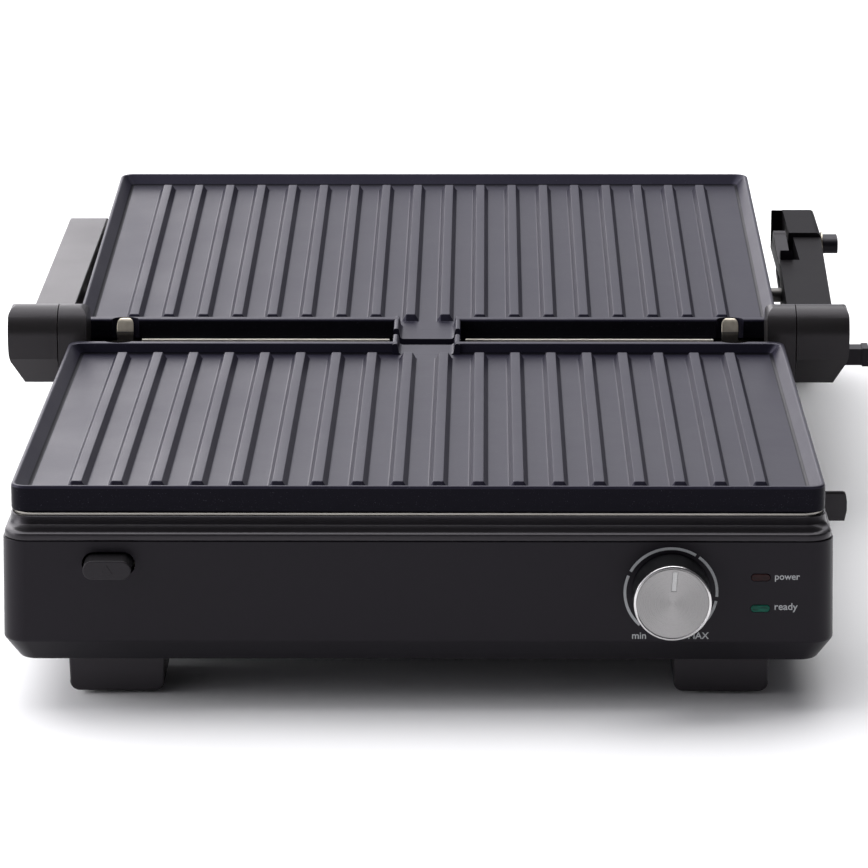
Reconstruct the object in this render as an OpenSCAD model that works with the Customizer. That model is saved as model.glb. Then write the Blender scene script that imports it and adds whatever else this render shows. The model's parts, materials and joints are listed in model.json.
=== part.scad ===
// Contact grill (panini press) lying open flat: base in front, lid behind, hinge line over the origin.
// +X to the right, +Y away from the user, +Z up, table at z = 0. Millimetres.

/* [Grill plates] */
// Width of one grill plate
plate_w = 298; // [280:1:298]
// Depth of one grill plate from the hinge side to the free side
plate_d = 233.5; // [220:0.5:234]
// Height of the plate's outer wall
plate_h = 10; // [8:0.5:10]
// Width of the rim's flat top on the hinge side
rim_t = 4; // [3:0.5:5]
// Width of the rim's flat top on the other three sides
rim_edge = 1.4; // [1.2:0.1:2]
// Width of the slope from the rim down to the cooking surface
rim_slope = 4; // [3:0.5:5]
// Depth of the cooking surface below the rim
floor_depth = 4.6; // [4:0.1:5.2]
// Number of ribs
rib_count = 18; // [10:1:18]
// Distance from rib to rib
rib_pitch = 14.8; // [12:0.1:14.8]
// Width of a rib at its foot
rib_foot = 8; // [5:0.5:10]
// Width of a rib at its top
rib_top = 3.6; // [2:0.2:5]
// Outer width of the grease spout
spout_w = 28.4; // [20:0.2:32]

/* [Housings] */
// Half width of the housings at the seam
house_hw = 151.2; // [151:0.1:151.6]
// Distance from the hinge axis to the free side of a housing
house_y = 259; // [256:0.5:262]
// Height of the base above the table
base_lift = 18.5; // [16:0.5:20]
// Wall thickness of the mouldings
wall = 2.6; // [2:0.1:3]
// Depth of the lid below its rim plane
lid_depth = 42; // [40:0.5:44]

/* [Hinge and handle] */
// Height of the hinge axis above the table
hinge_z = 77; // [76:0.5:78]
// Slope of the lower plate, which drains towards the hinge gap
lower_tilt = 1.8; // [1.5:0.1:2.2]
// Slope of the upper plate while the lid lies open
upper_tilt = 2.7; // [2:0.1:3]
// Radius of the hinge hubs
hub_r = 11.2; // [10.5:0.1:12]
// Width of a handle arm
arm_w = 19; // [16:0.5:19]
// Distance from the hinge axis to the end of the arms
arm_end = 227; // [222:1:232]
// Distance from the hinge axis to the pivots on which the lid tilts
pivot_y = 112; // [100:1:120]

/* [Controls] */
// Diameter of the temperature knob
knob_d = 28.4; // [24:0.2:32]
// How far the knob stands out from the front
knob_h = 16; // [12:0.5:18]
// Width of a release button
button_w = 17.7; // [14:0.1:18]
// Height of a release button
button_h = 7.3; // [6:0.1:7.6]

/* [Hidden] */
$fn = 64;

plastic = [0.12, 0.12, 0.13];
plastic_hub = [0.2, 0.2, 0.2];
coating = [0.42, 0.41, 0.46];
steel = [0.72, 0.71, 0.69];
rubber = [0.06, 0.06, 0.06];
copper = [0.7, 0.45, 0.25];

// Plate frame: x as in the world, y outwards from the hinge axis, z up from the rim plane.
rim_drop = 0.5;
gap_half = 17.5;
plate_r = 9;
plate_end = gap_half + plate_d;
skin_z = -7.6;
spout_y = 4.5;
clip_x = 128.5;
clip_w = 7;
notch_w = 12;
flange_top = -plate_h - 0.3;
flange_t = 1.5;
pan_hw = 130;
pan_y0 = 30;
pan_y1 = 239.5;
pan_floor = -23;
pan_t = 0.9;
element_r = 3.2;
element_z = -15.2;
element_y = [70, 200];
element_x = 112;
cover_top = flange_top - flange_t - 0.3;
shoulder_drop = 3.2;
lip_h = 3.1;
lip_top = cover_top - shoulder_drop;
seam_z = lip_top - lip_h;
seam_gap = 0.5;
cover_hw = 149.4;
house_r = 9;
lid_button_z = seam_z - 7.5;
base_back = 8;
lid_front = 14;

// Base, in the world frame.
face_bottom = base_lift + 9.3;
chamfer_run = 8;
base_flare = 1.4;
foot_x = 112.3;
foot_w = 36;
foot_y = -240;
foot_d = 34;
pad_h = 1.5;
screw_x = 136;
screw_y = [-228, -52];
gland_x = -100;
gland_z = 37;
tray_x0 = -62;
tray_y0 = -35.6;
tray_y1 = 3.6;
tray_z0 = 34.4;
tray_z1 = 49;
slide_gap = 0.5;

// Controls, in the world frame.
knob_x = 92.5;
knob_z = 47.4;
button_x = -112.7;
button_z = 57.1;
button_out = 8;
button_gap = 0.85;
lamp_x = 125;
lamp_z = [52.3, 40.4];
lamp_w = 7;
lamp_hh = 1.35;
stem_w = 8;
button_travel = 3;
screw_head_h = 2.2;
screw_r = 1.6;

// Hinge and handle.
bracket_x0 = 142.6;
bracket_x1 = 154.6;
hub_x0 = 155;
hub_x1 = 177;
pin_r = 4;
running = 0.06;
hub_bottom = -21.5;
arm_x0 = 154;
arm_top = -2;
arm_bottom = -19;
arm_start = 14.4;
neck_y = 177;
block_x0 = 159.3;
end_x0 = 164.5;
end_x1 = 179.3;
block_rise = 2;
left_x0 = 152.9;
left_x1 = 170.5;
left_leg_x0 = 159.5;
left_hub_x1 = 175.6;
leg_d = 26;
bar_r = 9.6;
bar_z = 11.2;
bar_y = arm_end - 13;
pivot_z = 64;
pivot_r = 3.2;
recess_y0 = 133;
recess_y1 = 225;
latch_y = 184.5;
latch_z = 70;
hook_len = 50;
catch_y = -200;
catch_d = 11;
catch_z0 = 55.6;
catch_z1 = 67.2;

module along_x(x0, x1) {
    translate([x0, 0, 0]) rotate([90, 0, 90]) linear_extrude(x1 - x0) children();
}

module along_y(y0, y1) {
    translate([0, y1, 0]) rotate([90, 0, 0]) linear_extrude(y1 - y0) children();
}

module rod_x(x0, x1, y, z, r) {
    translate([x0, y, z]) rotate([0, 90, 0]) cylinder(h = x1 - x0, r = r);
}

module rod_y(y0, y1, x, z, r) {
    translate([x, y0, z]) rotate([-90, 0, 0]) cylinder(h = y1 - y0, r = r);
}

module block(x0, x1, y0, y1, z0, z1) {
    translate([x0, y0, z0]) cube([x1 - x0, y1 - y0, z1 - z0]);
}

module rounded_rect(hw, y0, y1, r) {
    translate([-hw + r, y0]) square([2 * (hw - r), y1 - y0]);
    translate([-hw, y0 + r]) square([2 * hw, y1 - y0 - 2 * r]);
    for (sx = [-1, 1], y = [y0 + r, y1 - r]) translate([sx * (hw - r), y]) circle(r);
}

module slab(hw, y0, y1, z0, z1, r) {
    translate([0, 0, z0]) linear_extrude(z1 - z0) rounded_rect(hw, y0, y1, r);
}

module stadium(w, h) {
    square([w - h, h], center = true);
    for (s = [-1, 1]) translate([s * (w - h) / 2, 0]) circle(h / 2);
}

// Places a plate-frame shape on the base or on the lid.
module on_base() {
    translate([0, 0, hinge_z - rim_drop]) rotate([-lower_tilt, 0, 0]) rotate([0, 0, 180]) children();
}

module on_lid() {
    translate([0, 0, hinge_z - rim_drop]) rotate([upper_tilt, 0, 0]) children();
}

module pair() {
    children();
    mirror([1, 0, 0]) children();
}

// ---------------------------------------------------------------- grill plates

module rib(y0, y1) {
    run = 4.5;
    foot = -floor_depth - 0.4;
    top = -floor_depth + 2.9;
    intersection() {
        along_y(y0, y1)
            polygon([[-rib_foot / 2, foot], [rib_foot / 2, foot], [rib_top / 2, top], [-rib_top / 2, top]]);
        along_x(-rib_foot / 2, rib_foot / 2)
            polygon([[y0, foot], [y1, foot], [y1 - run, top], [y0 + run, top]]);
    }
}

// Slopes between the thin rim and the cooking surface, trimmed to the plate's outline.
module rim_slopes() {
    top = -0.8;
    foot = -floor_depth - 0.3;
    side_x = plate_w / 2 - rim_edge;
    far_y = plate_end - rim_edge;
    intersection() {
        union() {
            pair() along_y(gap_half + rim_t - 0.2, far_y)
                polygon([[side_x + 0.2, top], [side_x, top], [side_x - rim_slope, foot], [side_x + 0.2, foot]]);
            along_x(-side_x, side_x)
                polygon([[far_y + 0.2, top], [far_y, top], [far_y - rim_slope, foot], [far_y + 0.2, foot]]);
        }
        slab(plate_w / 2 - 0.4, gap_half + 0.4, plate_end - 0.4, -plate_h, 0, plate_r - 0.4);
    }
}

module grill_plate() {
    rib_y0 = gap_half + 11;
    rib_y1 = plate_end - 12;
    channel_w = spout_w - 6.4;
    rim_slopes();
    difference() {
        union() {
            slab(plate_w / 2, gap_half, plate_end, -plate_h, 0, plate_r);
            block(-spout_w / 2, spout_w / 2, spout_y, gap_half + 5, -plate_h, 0);
        }
        slab(plate_w / 2 - rim_edge, gap_half + rim_t, plate_end - rim_edge, -floor_depth, 1,
            plate_r - rim_edge);
        block(-channel_w / 2, channel_w / 2, spout_y - 1, gap_half + 8, -floor_depth, 1);
        slab(plate_w / 2 - 4.5, gap_half + 5, plate_end - 4.5, -plate_h - 1, skin_z, plate_r - 4.5);
        for (s = [-1, 1])
            block(s * clip_x - notch_w / 2, s * clip_x + notch_w / 2, gap_half - 1, gap_half + 2.6, -plate_h - 1, 1);
    }
    for (i = [0 : rib_count - 1])
        translate([(i - (rib_count - 1) / 2) * rib_pitch, 0, 0]) rib(rib_y0, rib_y1);
}

module lower_grill_plate() {
    color(coating) on_base() grill_plate();
}

module upper_grill_plate() {
    color(coating) on_lid() grill_plate();
}

// ------------------------------------------------------- steel trays and heaters

module steel_tray(latch_side) {
    difference() {
        union() {
            slab(plate_w / 2 - 0.6, gap_half + 0.6, plate_end - 0.6, flange_top - flange_t, flange_top, 8);
            slab(pan_hw, pan_y0, pan_y1, pan_floor, flange_top - 1, 8);
        }
        slab(pan_hw - pan_t, pan_y0 + pan_t, pan_y1 - pan_t, pan_floor + pan_t, 0, 8 - pan_t);
        // Notches beside the spring clips
        for (s = [-1, 1])
            block(s * clip_x - notch_w / 2, s * clip_x + notch_w / 2, gap_half - 1, gap_half + 2.2, -20, 0);
        // Window for the plate latch
        block(latch_side * button_x - 11, latch_side * button_x + 11, pan_y1 + 0.3, 248.6, -20, 0);
        // Holes for the two cold ends of the heating element
        for (y = element_y) translate([element_x, y, pan_floor - 1]) cylinder(h = 3, r = element_r + 0.1);
    }
}

module heating_element() {
    mid = (element_y[0] + element_y[1]) / 2;
    bend = (element_y[1] - element_y[0]) / 2;
    for (y = element_y) {
        rod_x(-45, element_x, y, element_z, element_r);
        translate([element_x, y, element_z]) sphere(element_r);
        translate([element_x, y, pan_floor - 4]) cylinder(h = element_z - pan_floor + 4, r = element_r);
        translate([element_x, y, pan_floor - 8]) cylinder(h = 5, r = 1.4);
    }
    translate([-45, mid, element_z]) rotate([0, 0, 90])
        rotate_extrude(angle = 180) translate([bend, 0]) circle(element_r);
}

module lower_steel_tray() {
    color(steel) on_base() steel_tray(-1);
}

module upper_steel_tray() {
    color(steel) on_lid() steel_tray(1);
}

module lower_heating_element() {
    color("dimgray") on_base() heating_element();
}

module upper_heating_element() {
    color("dimgray") on_lid() heating_element();
}

// Spring strip that stands on the housing and bends over into the notch of the rim.
module plate_clips(top) {
    for (s = [-1, 1]) translate([s * clip_x, 0, 0]) {
        along_x(-clip_w / 2, clip_w / 2)
            polygon([[14.4, cover_top], [15.4, cover_top], [15.6, top - 2.2], [17.2, top + 0.1],
                [16.6, top + 1], [14.6, top - 1.8]]);
        rod_x(-clip_w / 2, clip_w / 2, 17, top + 0.6, 0.9);
    }
}

module lower_plate_clips() {
    color(steel) on_base() plate_clips(-3.2);
}

module upper_plate_clips() {
    color(steel) on_lid() plate_clips(0);
}

// ------------------------------------------------------------------- housings

// The moulding under a steel tray: step, ledge with a lip, and a skirt inside the shell.
module cover_ring(back) {
    top_y = house_y - 7.4;
    difference() {
        union() {
            slab(cover_hw, back, top_y, lip_top - 0.1, cover_top, house_r - 1);
            slab(house_hw, back, house_y, seam_z, lip_top, house_r);
            slab(house_hw - 3.8, back + 3.8, house_y - 3.8, seam_z - 3, seam_z + 0.1, house_r - 3.4);
        }
        slab(house_hw - 5.4, back + 5.4, top_y - 2.6, seam_z - 4, cover_top - 2.6, house_r - 5);
        slab(pan_hw + 0.8, pan_y0 - 0.8, pan_y1 + 0.8, seam_z, 0, 8.8);
    }
}

module latch_window(side) {
    block(side * button_x - 11, side * button_x + 11, pan_y1 - 1, 248.6, seam_z - 4, 0);
}

module bracket_pocket(clear) {
    block(bracket_x0 - clear, 160, -hub_r - 0.2 - clear, base_back + 1, hinge_z - 25, 90);
}

module base_cover() {
    color(plastic) difference() {
        union() {
            on_base() cover_ring(-base_back);
            // Screw bosses reach down to the shell's floor
            for (s = [-1, 1], y = screw_y)
                translate([s * screw_x, y, base_lift + 4.2])
                    cylinder(h = hinge_z - rim_drop + cover_top - 2 - y * sin(lower_tilt) - base_lift - 4.2,
                        r = 4);
        }
        on_base() latch_window(-1);
        // Drain opening under the two spouts
        block(-17, 17, -12, base_back + 2, 40, 80);
        pair() bracket_pocket(0.3);
        for (s = [-1, 1], y = screw_y)
            translate([s * screw_x, y, base_lift]) cylinder(h = 26, r = 1.7);
    }
}

module shell_solid(inset) {
    r = house_r - inset / 2;
    hw = house_hw - inset;
    hull() {
        slab(hw - chamfer_run + 1, -house_y + chamfer_run + inset, base_back - 5 - inset, base_lift + inset,
            base_lift + inset + 0.1, r);
        slab(hw + base_flare, -house_y + inset, base_back - inset, face_bottom + inset / 2,
            face_bottom + inset / 2 + 0.1, r);
        slab(hw, -house_y + inset, base_back - inset, 80, 80.1, r);
    }
}

module base_shell() {
    color(plastic) difference() {
        union() {
            difference() {
                shell_solid(0);
                shell_solid(wall);
            }
            // Runner on which the drip tray slides
            block(tray_x0 - 3, 149, tray_y0 - 3, base_back - 2, tray_z0 - slide_gap - 2, tray_z0 - slide_gap);
            block(tray_x0 - 3, 149, tray_y0 - 3, tray_y0 - 1.2, base_lift + 2, tray_z0);
            // Seats under the cover's screw bosses
            for (s = [-1, 1], y = screw_y)
                translate([s * screw_x, y, base_lift + 1]) cylinder(h = 3.2, r = 5.5);
            // Post that the button's spring pushes against
            block(button_x - 5, button_x + 5, -house_y + 24.8, -house_y + 26.8, base_lift + 1, button_z + 2);
        }
        on_base() block(-200, 200, -40, 300, seam_z - seam_gap, 60);
        // Mouth of the drip tray
        block(140, 160, tray_y0 - slide_gap, tray_y1 + slide_gap, tray_z0 - slide_gap, tray_z1 + slide_gap);
        pair() bracket_pocket(0.3);
        // Release button, knob spindle and lamp windows
        translate([button_x, 0, button_z]) along_y(-house_y - 3, -house_y + 8)
            stadium(button_w + 2 * button_gap, button_h + 2 * button_gap);
        rod_y(-house_y - 3, -house_y + 8, knob_x, knob_z, 5);
        for (z = lamp_z) block(lamp_x - lamp_w / 2, lamp_x + lamp_w / 2, -house_y - 3, -house_y + 8,
            z - lamp_hh, z + lamp_hh);
        rod_y(base_back - 6, base_back + 3, gland_x, gland_z, 5.5);
        for (s = [-1, 1], y = screw_y) translate([s * screw_x, y, 0]) {
            cylinder(h = 40, r = 2);
            cylinder(h = base_lift + 2.6, r = 4.2);
        }
    }
}

module lid_shell_solid(inset) {
    r = house_r - inset / 2;
    hw = house_hw - inset;
    hull() {
        slab(hw - chamfer_run, lid_front + 14 + inset, house_y - chamfer_run - inset, -lid_depth + inset,
            -lid_depth + inset + 0.1, r);
        slab(hw + 0.6, lid_front + inset, house_y - inset, -lid_depth + 11 + inset / 2,
            -lid_depth + 11.1 + inset / 2, r);
        slab(hw, lid_front + inset, house_y - inset, 0, 0.1, r);
    }
}

module lid_shell() {
    color(plastic) difference() {
        on_lid() union() {
            difference() {
                lid_shell_solid(0);
                lid_shell_solid(wall);
                block(-200, 200, -40, 300, seam_z - seam_gap, 60);
            }
            for (s = [-1, 1], y = screw_y)
                translate([s * screw_x, -y + 12, -lid_depth + 1]) cylinder(h = 5, r = 5.5);
            block(button_x - 5, button_x + 5, house_y - 26.8, house_y - 24.8, -lid_depth + 1,
                lid_button_z + 2);
        }
        pair() rod_x(136, 160, pivot_y, pivot_z, pivot_r + 0.15);
        on_lid() translate([button_x, 0, lid_button_z]) along_y(house_y - 8, house_y + 3)
            stadium(button_w + 2 * button_gap, button_h + 2 * button_gap);
        on_lid() for (s = [-1, 1], y = screw_y) translate([s * screw_x, -y + 12, -lid_depth - 5]) {
            cylinder(h = 30, r = 2);
            cylinder(h = 7.6, r = 4.2);
        }
    }
}

module lid_bezel() {
    color(plastic) difference() {
        union() {
            on_lid() cover_ring(lid_front);
            on_lid() for (s = [-1, 1], y = screw_y)
                translate([s * screw_x, -y + 12, -lid_depth + 6.1])
                    cylinder(h = lid_depth - 6.1 + cover_top - 2, r = 4);
            // Pivot bosses behind the side walls
            on_lid() pair() block(137, 145, pivot_y_lid() - 7, pivot_y_lid() + 7, pivot_z_lid() - 6,
                cover_top - 2);
        }
        on_lid() latch_window(1);
        on_lid() for (s = [-1, 1], y = screw_y)
            translate([s * screw_x, -y + 12, -lid_depth]) cylinder(h = 22, r = 1.7);
        pair() rod_x(130, 145.5, pivot_y, pivot_z, pivot_r);
        pair() rod_x(145, 160, pivot_y, pivot_z, pivot_r + 0.15);
    }
}

// The pivot's place, turned into the lid's own frame.
function pivot_y_lid() = pivot_y * cos(upper_tilt) + (pivot_z - hinge_z + rim_drop) * sin(upper_tilt);
function pivot_z_lid() = -pivot_y * sin(upper_tilt) + (pivot_z - hinge_z + rim_drop) * cos(upper_tilt);

module front_feet() {
    color(plastic) pair() difference() {
        hull() {
            translate([foot_x, 0, 0]) slab(foot_w / 2, foot_y, foot_y + foot_d, base_lift - 0.2, base_lift, 2);
            translate([foot_x, 0, 0]) slab(foot_w / 2 - 0.4, foot_y + 0.6, foot_y + foot_d - 0.6, pad_h + 1.4,
                pad_h + 1.6, 3);
            translate([foot_x, 0, 0]) slab(foot_w / 2 - 2, foot_y + 2.2, foot_y + foot_d - 2.2, pad_h,
                pad_h + 0.1, 3);
        }
        translate([foot_x, 0, 0]) slab(foot_w / 2 - 5, foot_y + 5, foot_y + foot_d - 5, 0, pad_h + 1, 3);
    }
}

module rear_foot_bar() {
    color(plastic) hull() {
        slab(126, -15, 1, base_lift - 0.2, base_lift, 4);
        slab(124, -13, 0.6, pad_h, pad_h + 0.2, 4);
    }
}

module foot_pads() {
    color(rubber) {
        pair() translate([foot_x, 0, 0]) slab(foot_w / 2 - 5.2, foot_y + 5.2, foot_y + foot_d - 5.2, 0,
            pad_h + 0.9, 2.8);
        slab(120, -11, 0.3, 0, pad_h, 3);
    }
}

module screw(len) {
    cylinder(h = screw_head_h, r = 3.7);
    cylinder(h = len, r = screw_r);
}

module base_screws() {
    color(steel) for (s = [-1, 1], y = screw_y) translate([s * screw_x, y, base_lift + 2.6 - screw_head_h]) screw(22);
}

module lid_screws() {
    color(steel) on_lid() for (s = [-1, 1], y = screw_y)
        translate([s * screw_x, -y + 12, -lid_depth + 2.6 - screw_head_h]) screw(18);
}

module drip_tray() {
    x1 = house_hw + base_flare - 0.4;
    color("dimgray") difference() {
        block(tray_x0, x1, tray_y0, tray_y1, tray_z0, tray_z1);
        block(tray_x0 + 1.8, x1 - 4, tray_y0 + 1.8, tray_y1 - 1.8, tray_z0 + 1.8, tray_z1 + 1);
        // Finger recess under the front edge
        block(x1 - 2.2, x1 + 1, tray_y0 + 8, tray_y1 - 8, tray_z0 - 1, tray_z0 + 8);
    }
}

// ------------------------------------------------------------ controls and wiring

module knob_shaft() {
    color(steel) {
        rod_y(-house_y - 8, -house_y + 12, knob_x, knob_z, 3);
        rod_y(-house_y + 3.6, -house_y + 5, knob_x, knob_z, 4.4);
    }
}

module control_knob() {
    r = knob_d / 2;
    h = knob_h - 0.8;
    color([0.75, 0.75, 0.75]) difference() {
        translate([knob_x, -house_y - 0.8, knob_z]) rotate([90, 0, 0]) rotate_extrude()
            polygon([[0, 0], [r - 0.9, 0], [r, 0.9], [r - 0.3, h - 1.4], [r - 1.4, h], [0, h]]);
        rod_y(-house_y - 8.1, -house_y + 1, knob_x, knob_z, 3);
        block(knob_x - 0.8, knob_x + 0.8, -house_y - knob_h - 1, -house_y - knob_h + 0.4,
            knob_z + 4.5, knob_z + 12.4);
    }
}

module thermostat() {
    y0 = -house_y + 7;
    color("gainsboro") difference() {
        union() {
            block(knob_x - 13, knob_x + 13, y0, y0 + 16, knob_z - 11, knob_z + 11);
            rod_y(-house_y + wall + 0.2, y0 + 1, knob_x, knob_z, 8);
        }
        rod_y(-house_y, y0 + 8, knob_x, knob_z, 5);
    }
}

module lamp_window(z) {
    t = 0.12;
    block(lamp_x - lamp_w / 2 + t, lamp_x + lamp_w / 2 - t, -house_y - 0.1, -house_y + wall, z - lamp_hh + t,
        z + lamp_hh - t);
    block(lamp_x - lamp_w / 2 - 1.5, lamp_x + lamp_w / 2 + 1.5, -house_y + wall + 0.1, -house_y + wall + 1.6,
        z - lamp_hh - 1.5, z + lamp_hh + 1.5);
    block(lamp_x - lamp_w / 2 + t, lamp_x + lamp_w / 2 - t, -house_y + wall - 0.1, -house_y + wall + 0.2,
        z - lamp_hh + t, z + lamp_hh - t);
}

module power_lamp_window() {
    color([0.35, 0.03, 0.03]) lamp_window(lamp_z[0]);
}

module ready_lamp_window() {
    color([0.05, 0.4, 0.3]) lamp_window(lamp_z[1]);
}

module indicator_board() {
    y = -house_y + 9;
    color("darkgreen") {
        block(lamp_x - 9, lamp_x + 9, y, y + 1.6, 34, 59);
        for (z = lamp_z) rod_y(y - 4, y + 0.1, lamp_x, z, 2);
    }
}

module terminal_block() {
    color("ivory") difference() {
        block(-112, -82, -56, -42, base_lift + wall, base_lift + wall + 12);
        for (i = [0 : 2]) rod_y(-58, -40, -106 + i * 9, base_lift + wall + 6.5, 2);
    }
}

module cord_gland() {
    color(rubber) difference() {
        union() {
            rod_y(base_back - 5.2, base_back + 3.4, gland_x, gland_z, 5.3);
            rod_y(base_back - 7, base_back - 4.2, gland_x, gland_z, 7);
            rod_y(base_back + 0.2, base_back + 1.8, gland_x, gland_z, 6.5);
        }
        rod_y(base_back - 9, base_back + 5, gland_x, gland_z, 3.4);
    }
}

module release_button(side) {
    // Drawn in the plate frame of its housing, pressed towards the hinge
    z = lid_button_z;
    rotate([90, 0, 0]) translate([side * button_x, z, -house_y - button_out])
        linear_extrude(button_out + 9) stadium(button_w, button_h);
    block(side * button_x - stem_w / 2, side * button_x + stem_w / 2, house_y - 13, house_y - 8, z - 3, z + 3);
}

module lower_release_button() {
    color(plastic) translate([0, 0, button_z]) {
        translate([button_x, 0, 0]) along_y(-house_y - button_out, -house_y + 9) stadium(button_w, button_h);
        block(button_x - stem_w / 2, button_x + stem_w / 2, -house_y + 8, -house_y + 12.2, -3, 3);
    }
}

module upper_release_button() {
    color(plastic) on_lid() release_button(1);
}

// The nose stands behind the plate's free-side wall and moves with the button.
module plate_latch(side, z_low) {
    latch_y0 = pan_y1 + button_travel + 1.1;
    difference() {
        union() {
            block(side * button_x - 9, side * button_x + 9, latch_y0, latch_y0 + 2, z_low, -9);
            block(side * button_x - 9, side * button_x + 9, latch_y0, latch_y0 + 2.5, -9.8, -8.4);
        }
        block(side * button_x - 5, side * button_x + 5, house_y - 20, house_y, seam_z + 1, flange_top - 3);
    }
}

module lower_plate_latch() {
    color(steel) on_base() plate_latch(-1, seam_z - 14);
}

module upper_plate_latch() {
    color(steel) on_lid() plate_latch(1, seam_z - 14);
}

// Coil spring from p = 0 along +Y
module coil(len, r, wire, turns) {
    sides = 6;
    per_turn = 12;
    rings = turns * per_turn;
    points = [for (i = [0 : rings], k = [0 : sides - 1])
        let (a = 360 * i / per_turn, b = 360 * k / sides, q = r + wire * cos(b))
        [q * cos(a), len * i / rings + wire * sin(b), q * sin(a)]];
    sidewalls = [for (i = [0 : rings - 1], k = [0 : sides - 1])
        let (k2 = (k + 1) % sides)
        [i * sides + k, i * sides + k2, (i + 1) * sides + k2, (i + 1) * sides + k]];
    first = [for (k = [0 : sides - 1]) sides - 1 - k];
    last = [for (k = [0 : sides - 1]) rings * sides + k];
    polyhedron(points, concat([first], sidewalls, [last]));
}

module lower_button_spring() {
    color(steel) translate([button_x, -house_y + 16.2, button_z]) coil(8, 2, 0.35, 5);
}

module upper_button_spring() {
    color(steel) on_lid() translate([button_x, house_y - 24.2, lid_button_z]) coil(8, 2, 0.35, 5);
}

// -------------------------------------------------------------- hinge and handle

module at_axis() {
    translate([0, 0, hinge_z]) children();
}

module hinge_bracket() {
    at_axis() difference() {
        intersection() {
            along_x(bracket_x0, bracket_x1) {
                circle(hub_r);
                polygon([[-hub_r, 0], [-hub_r, -25], [base_back - 0.5, -25], [base_back - 0.5, -10],
                    [hub_r, 0]]);
            }
            along_y(-40, 40)
                polygon([[bracket_x0, -30], [bracket_x1, -30], [bracket_x1, 20], [bracket_x0 + 4, hub_r],
                    [bracket_x0 + 1.2, hub_r - 1.4], [bracket_x0, hub_r - 4.5]]);
        }
        rod_x(bracket_x0 + 2, bracket_x1 + 1, 0, 0, pin_r);
    }
}

module hinge_bracket_right() {
    color(plastic_hub) hinge_bracket();
}

module hinge_bracket_left() {
    color(plastic_hub) mirror([1, 0, 0]) hinge_bracket();
}

module hinge_pin() {
    at_axis() rod_x(bracket_x0 + 2, hub_x0 + 11.5, 0, 0, pin_r);
}

module hinge_pin_right() {
    color(steel) hinge_pin();
}

module hinge_pin_left() {
    color(steel) mirror([1, 0, 0]) hinge_pin();
}

module hub_cover(x1) {
    at_axis() difference() {
        intersection() {
            along_x(hub_x0, x1) {
                circle(hub_r);
                polygon([[-hub_r, 0], [-hub_r, -9.6], [-4, hub_bottom], [arm_start, hub_bottom],
                    [arm_start, arm_top], [0, arm_top]]);
            }
            along_y(-40, 40)
                polygon([[hub_x0, -40], [x1 - 6, -40], [x1 - 6, hub_bottom], [x1 - 0.6, -11], [x1, -7],
                    [x1, 6.8], [x1 - 0.5, 9.6], [x1 - 1.8, hub_r], [x1 - 2, 30], [hub_x0, 30]]);
        }
        // Room for the arm's bearing eye
        rod_x(hub_x0 - 1, hub_x0 + 12.8, 0, 0, 9.4);
        block(hub_x0 - 1, hub_x0 + 12.8, 0, arm_start + 1, -9.2, arm_top + 5);
    }
}

module hub_cover_right() {
    color(plastic_hub) difference() {
        hub_cover(hub_x1);
        block(hub_x0, hub_x1 + 2, -4.1, 4.1, hinge_z - 14, hinge_z - 6.8);
    }
}

module hub_cover_left() {
    color(plastic_hub) mirror([1, 0, 0]) hub_cover(left_hub_x1);
}

// Bearing eye and its neck inside the hub cover
module arm_eye() {
    at_axis() {
        rod_x(hub_x0 + 0.3, hub_x0 + 12.4, 0, 0, 9);
        block(hub_x0 + 0.3, hub_x0 + 12.4, 2, arm_start + 1, -8.8, arm_top - 0.4);
    }
}

// Bores of the hinge pin, of the lid's pivot pin and of the handle bar
module arm_bores(leg_x0) {
    at_axis() rod_x(hub_x0 - 1, hub_x0 + 14, 0, 0, pin_r + running);
    rod_x(left_x0 - 1, arm_x0 + 14, pivot_y, pivot_z, pivot_r + running);
    rod_x(leg_x0 - 1, leg_x0 + 8, bar_y, bar_z, bar_r - 2);
}

// Profile of the end block along the arm, with its far upper corner rounded
module end_block(y0, top, r) {
    translate([y0, hinge_z + arm_bottom]) square([arm_end - r - y0, top - arm_bottom]);
    translate([arm_end - leg_d, hinge_z + arm_bottom]) square([leg_d, top - r - arm_bottom]);
    translate([arm_end - r, hinge_z + top - r]) circle(r);
}

module handle_leg(x0, x1) {
    block(x0, x1, arm_end - leg_d, arm_end, pad_h, hinge_z + arm_bottom + 0.1);
}

module handle_arm_left() {
    color([0.55, 0.54, 0.53]) mirror([1, 0, 0]) difference() {
        union() {
            arm_eye();
            at_axis() block(left_x0, left_x1, arm_start + 0.2, neck_y, arm_bottom, arm_top);
            along_x(left_x0, left_x1) end_block(neck_y - 10, arm_top, 14);
            handle_leg(left_leg_x0, left_x1);
        }
        arm_bores(left_leg_x0);
    }
}

module handle_arm_right() {
    color(plastic_hub) difference() {
        union() {
            arm_eye();
            // The run beside the lid leans outwards
            at_axis() translate([0, 0, arm_bottom]) linear_extrude(arm_top - arm_bottom)
                polygon([[arm_x0, arm_start + 0.2], [arm_x0 + arm_w, arm_start + 0.2],
                    [end_x1 - 0.4, neck_y + 1], [arm_x0 + 4.6, neck_y + 1]]);
            along_x(block_x0, end_x1) end_block(neck_y, arm_top + block_rise, 4);
            handle_leg(end_x0, end_x1);
        }
        arm_bores(end_x0);
        // Recess for the latch hook, open to the top and to the inside
        block(arm_x0 - 1, end_x0 + 1.7, recess_y0, neck_y, latch_z - 8.5, 90);
        block(arm_x0 - 1, end_x0 - 0.2, neck_y - 1, recess_y1, latch_z - 8.5, 90);
        rod_x(150, 190, latch_y, latch_z, 3 + running);
    }
}

module handle_bar() {
    color(plastic) {
        rod_x(-left_leg_x0, end_x0, bar_y, bar_z, bar_r - 0.4);
        rod_x(-left_leg_x0 - 8, end_x0 + 8, bar_y, bar_z, bar_r - 2);
    }
}

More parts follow.
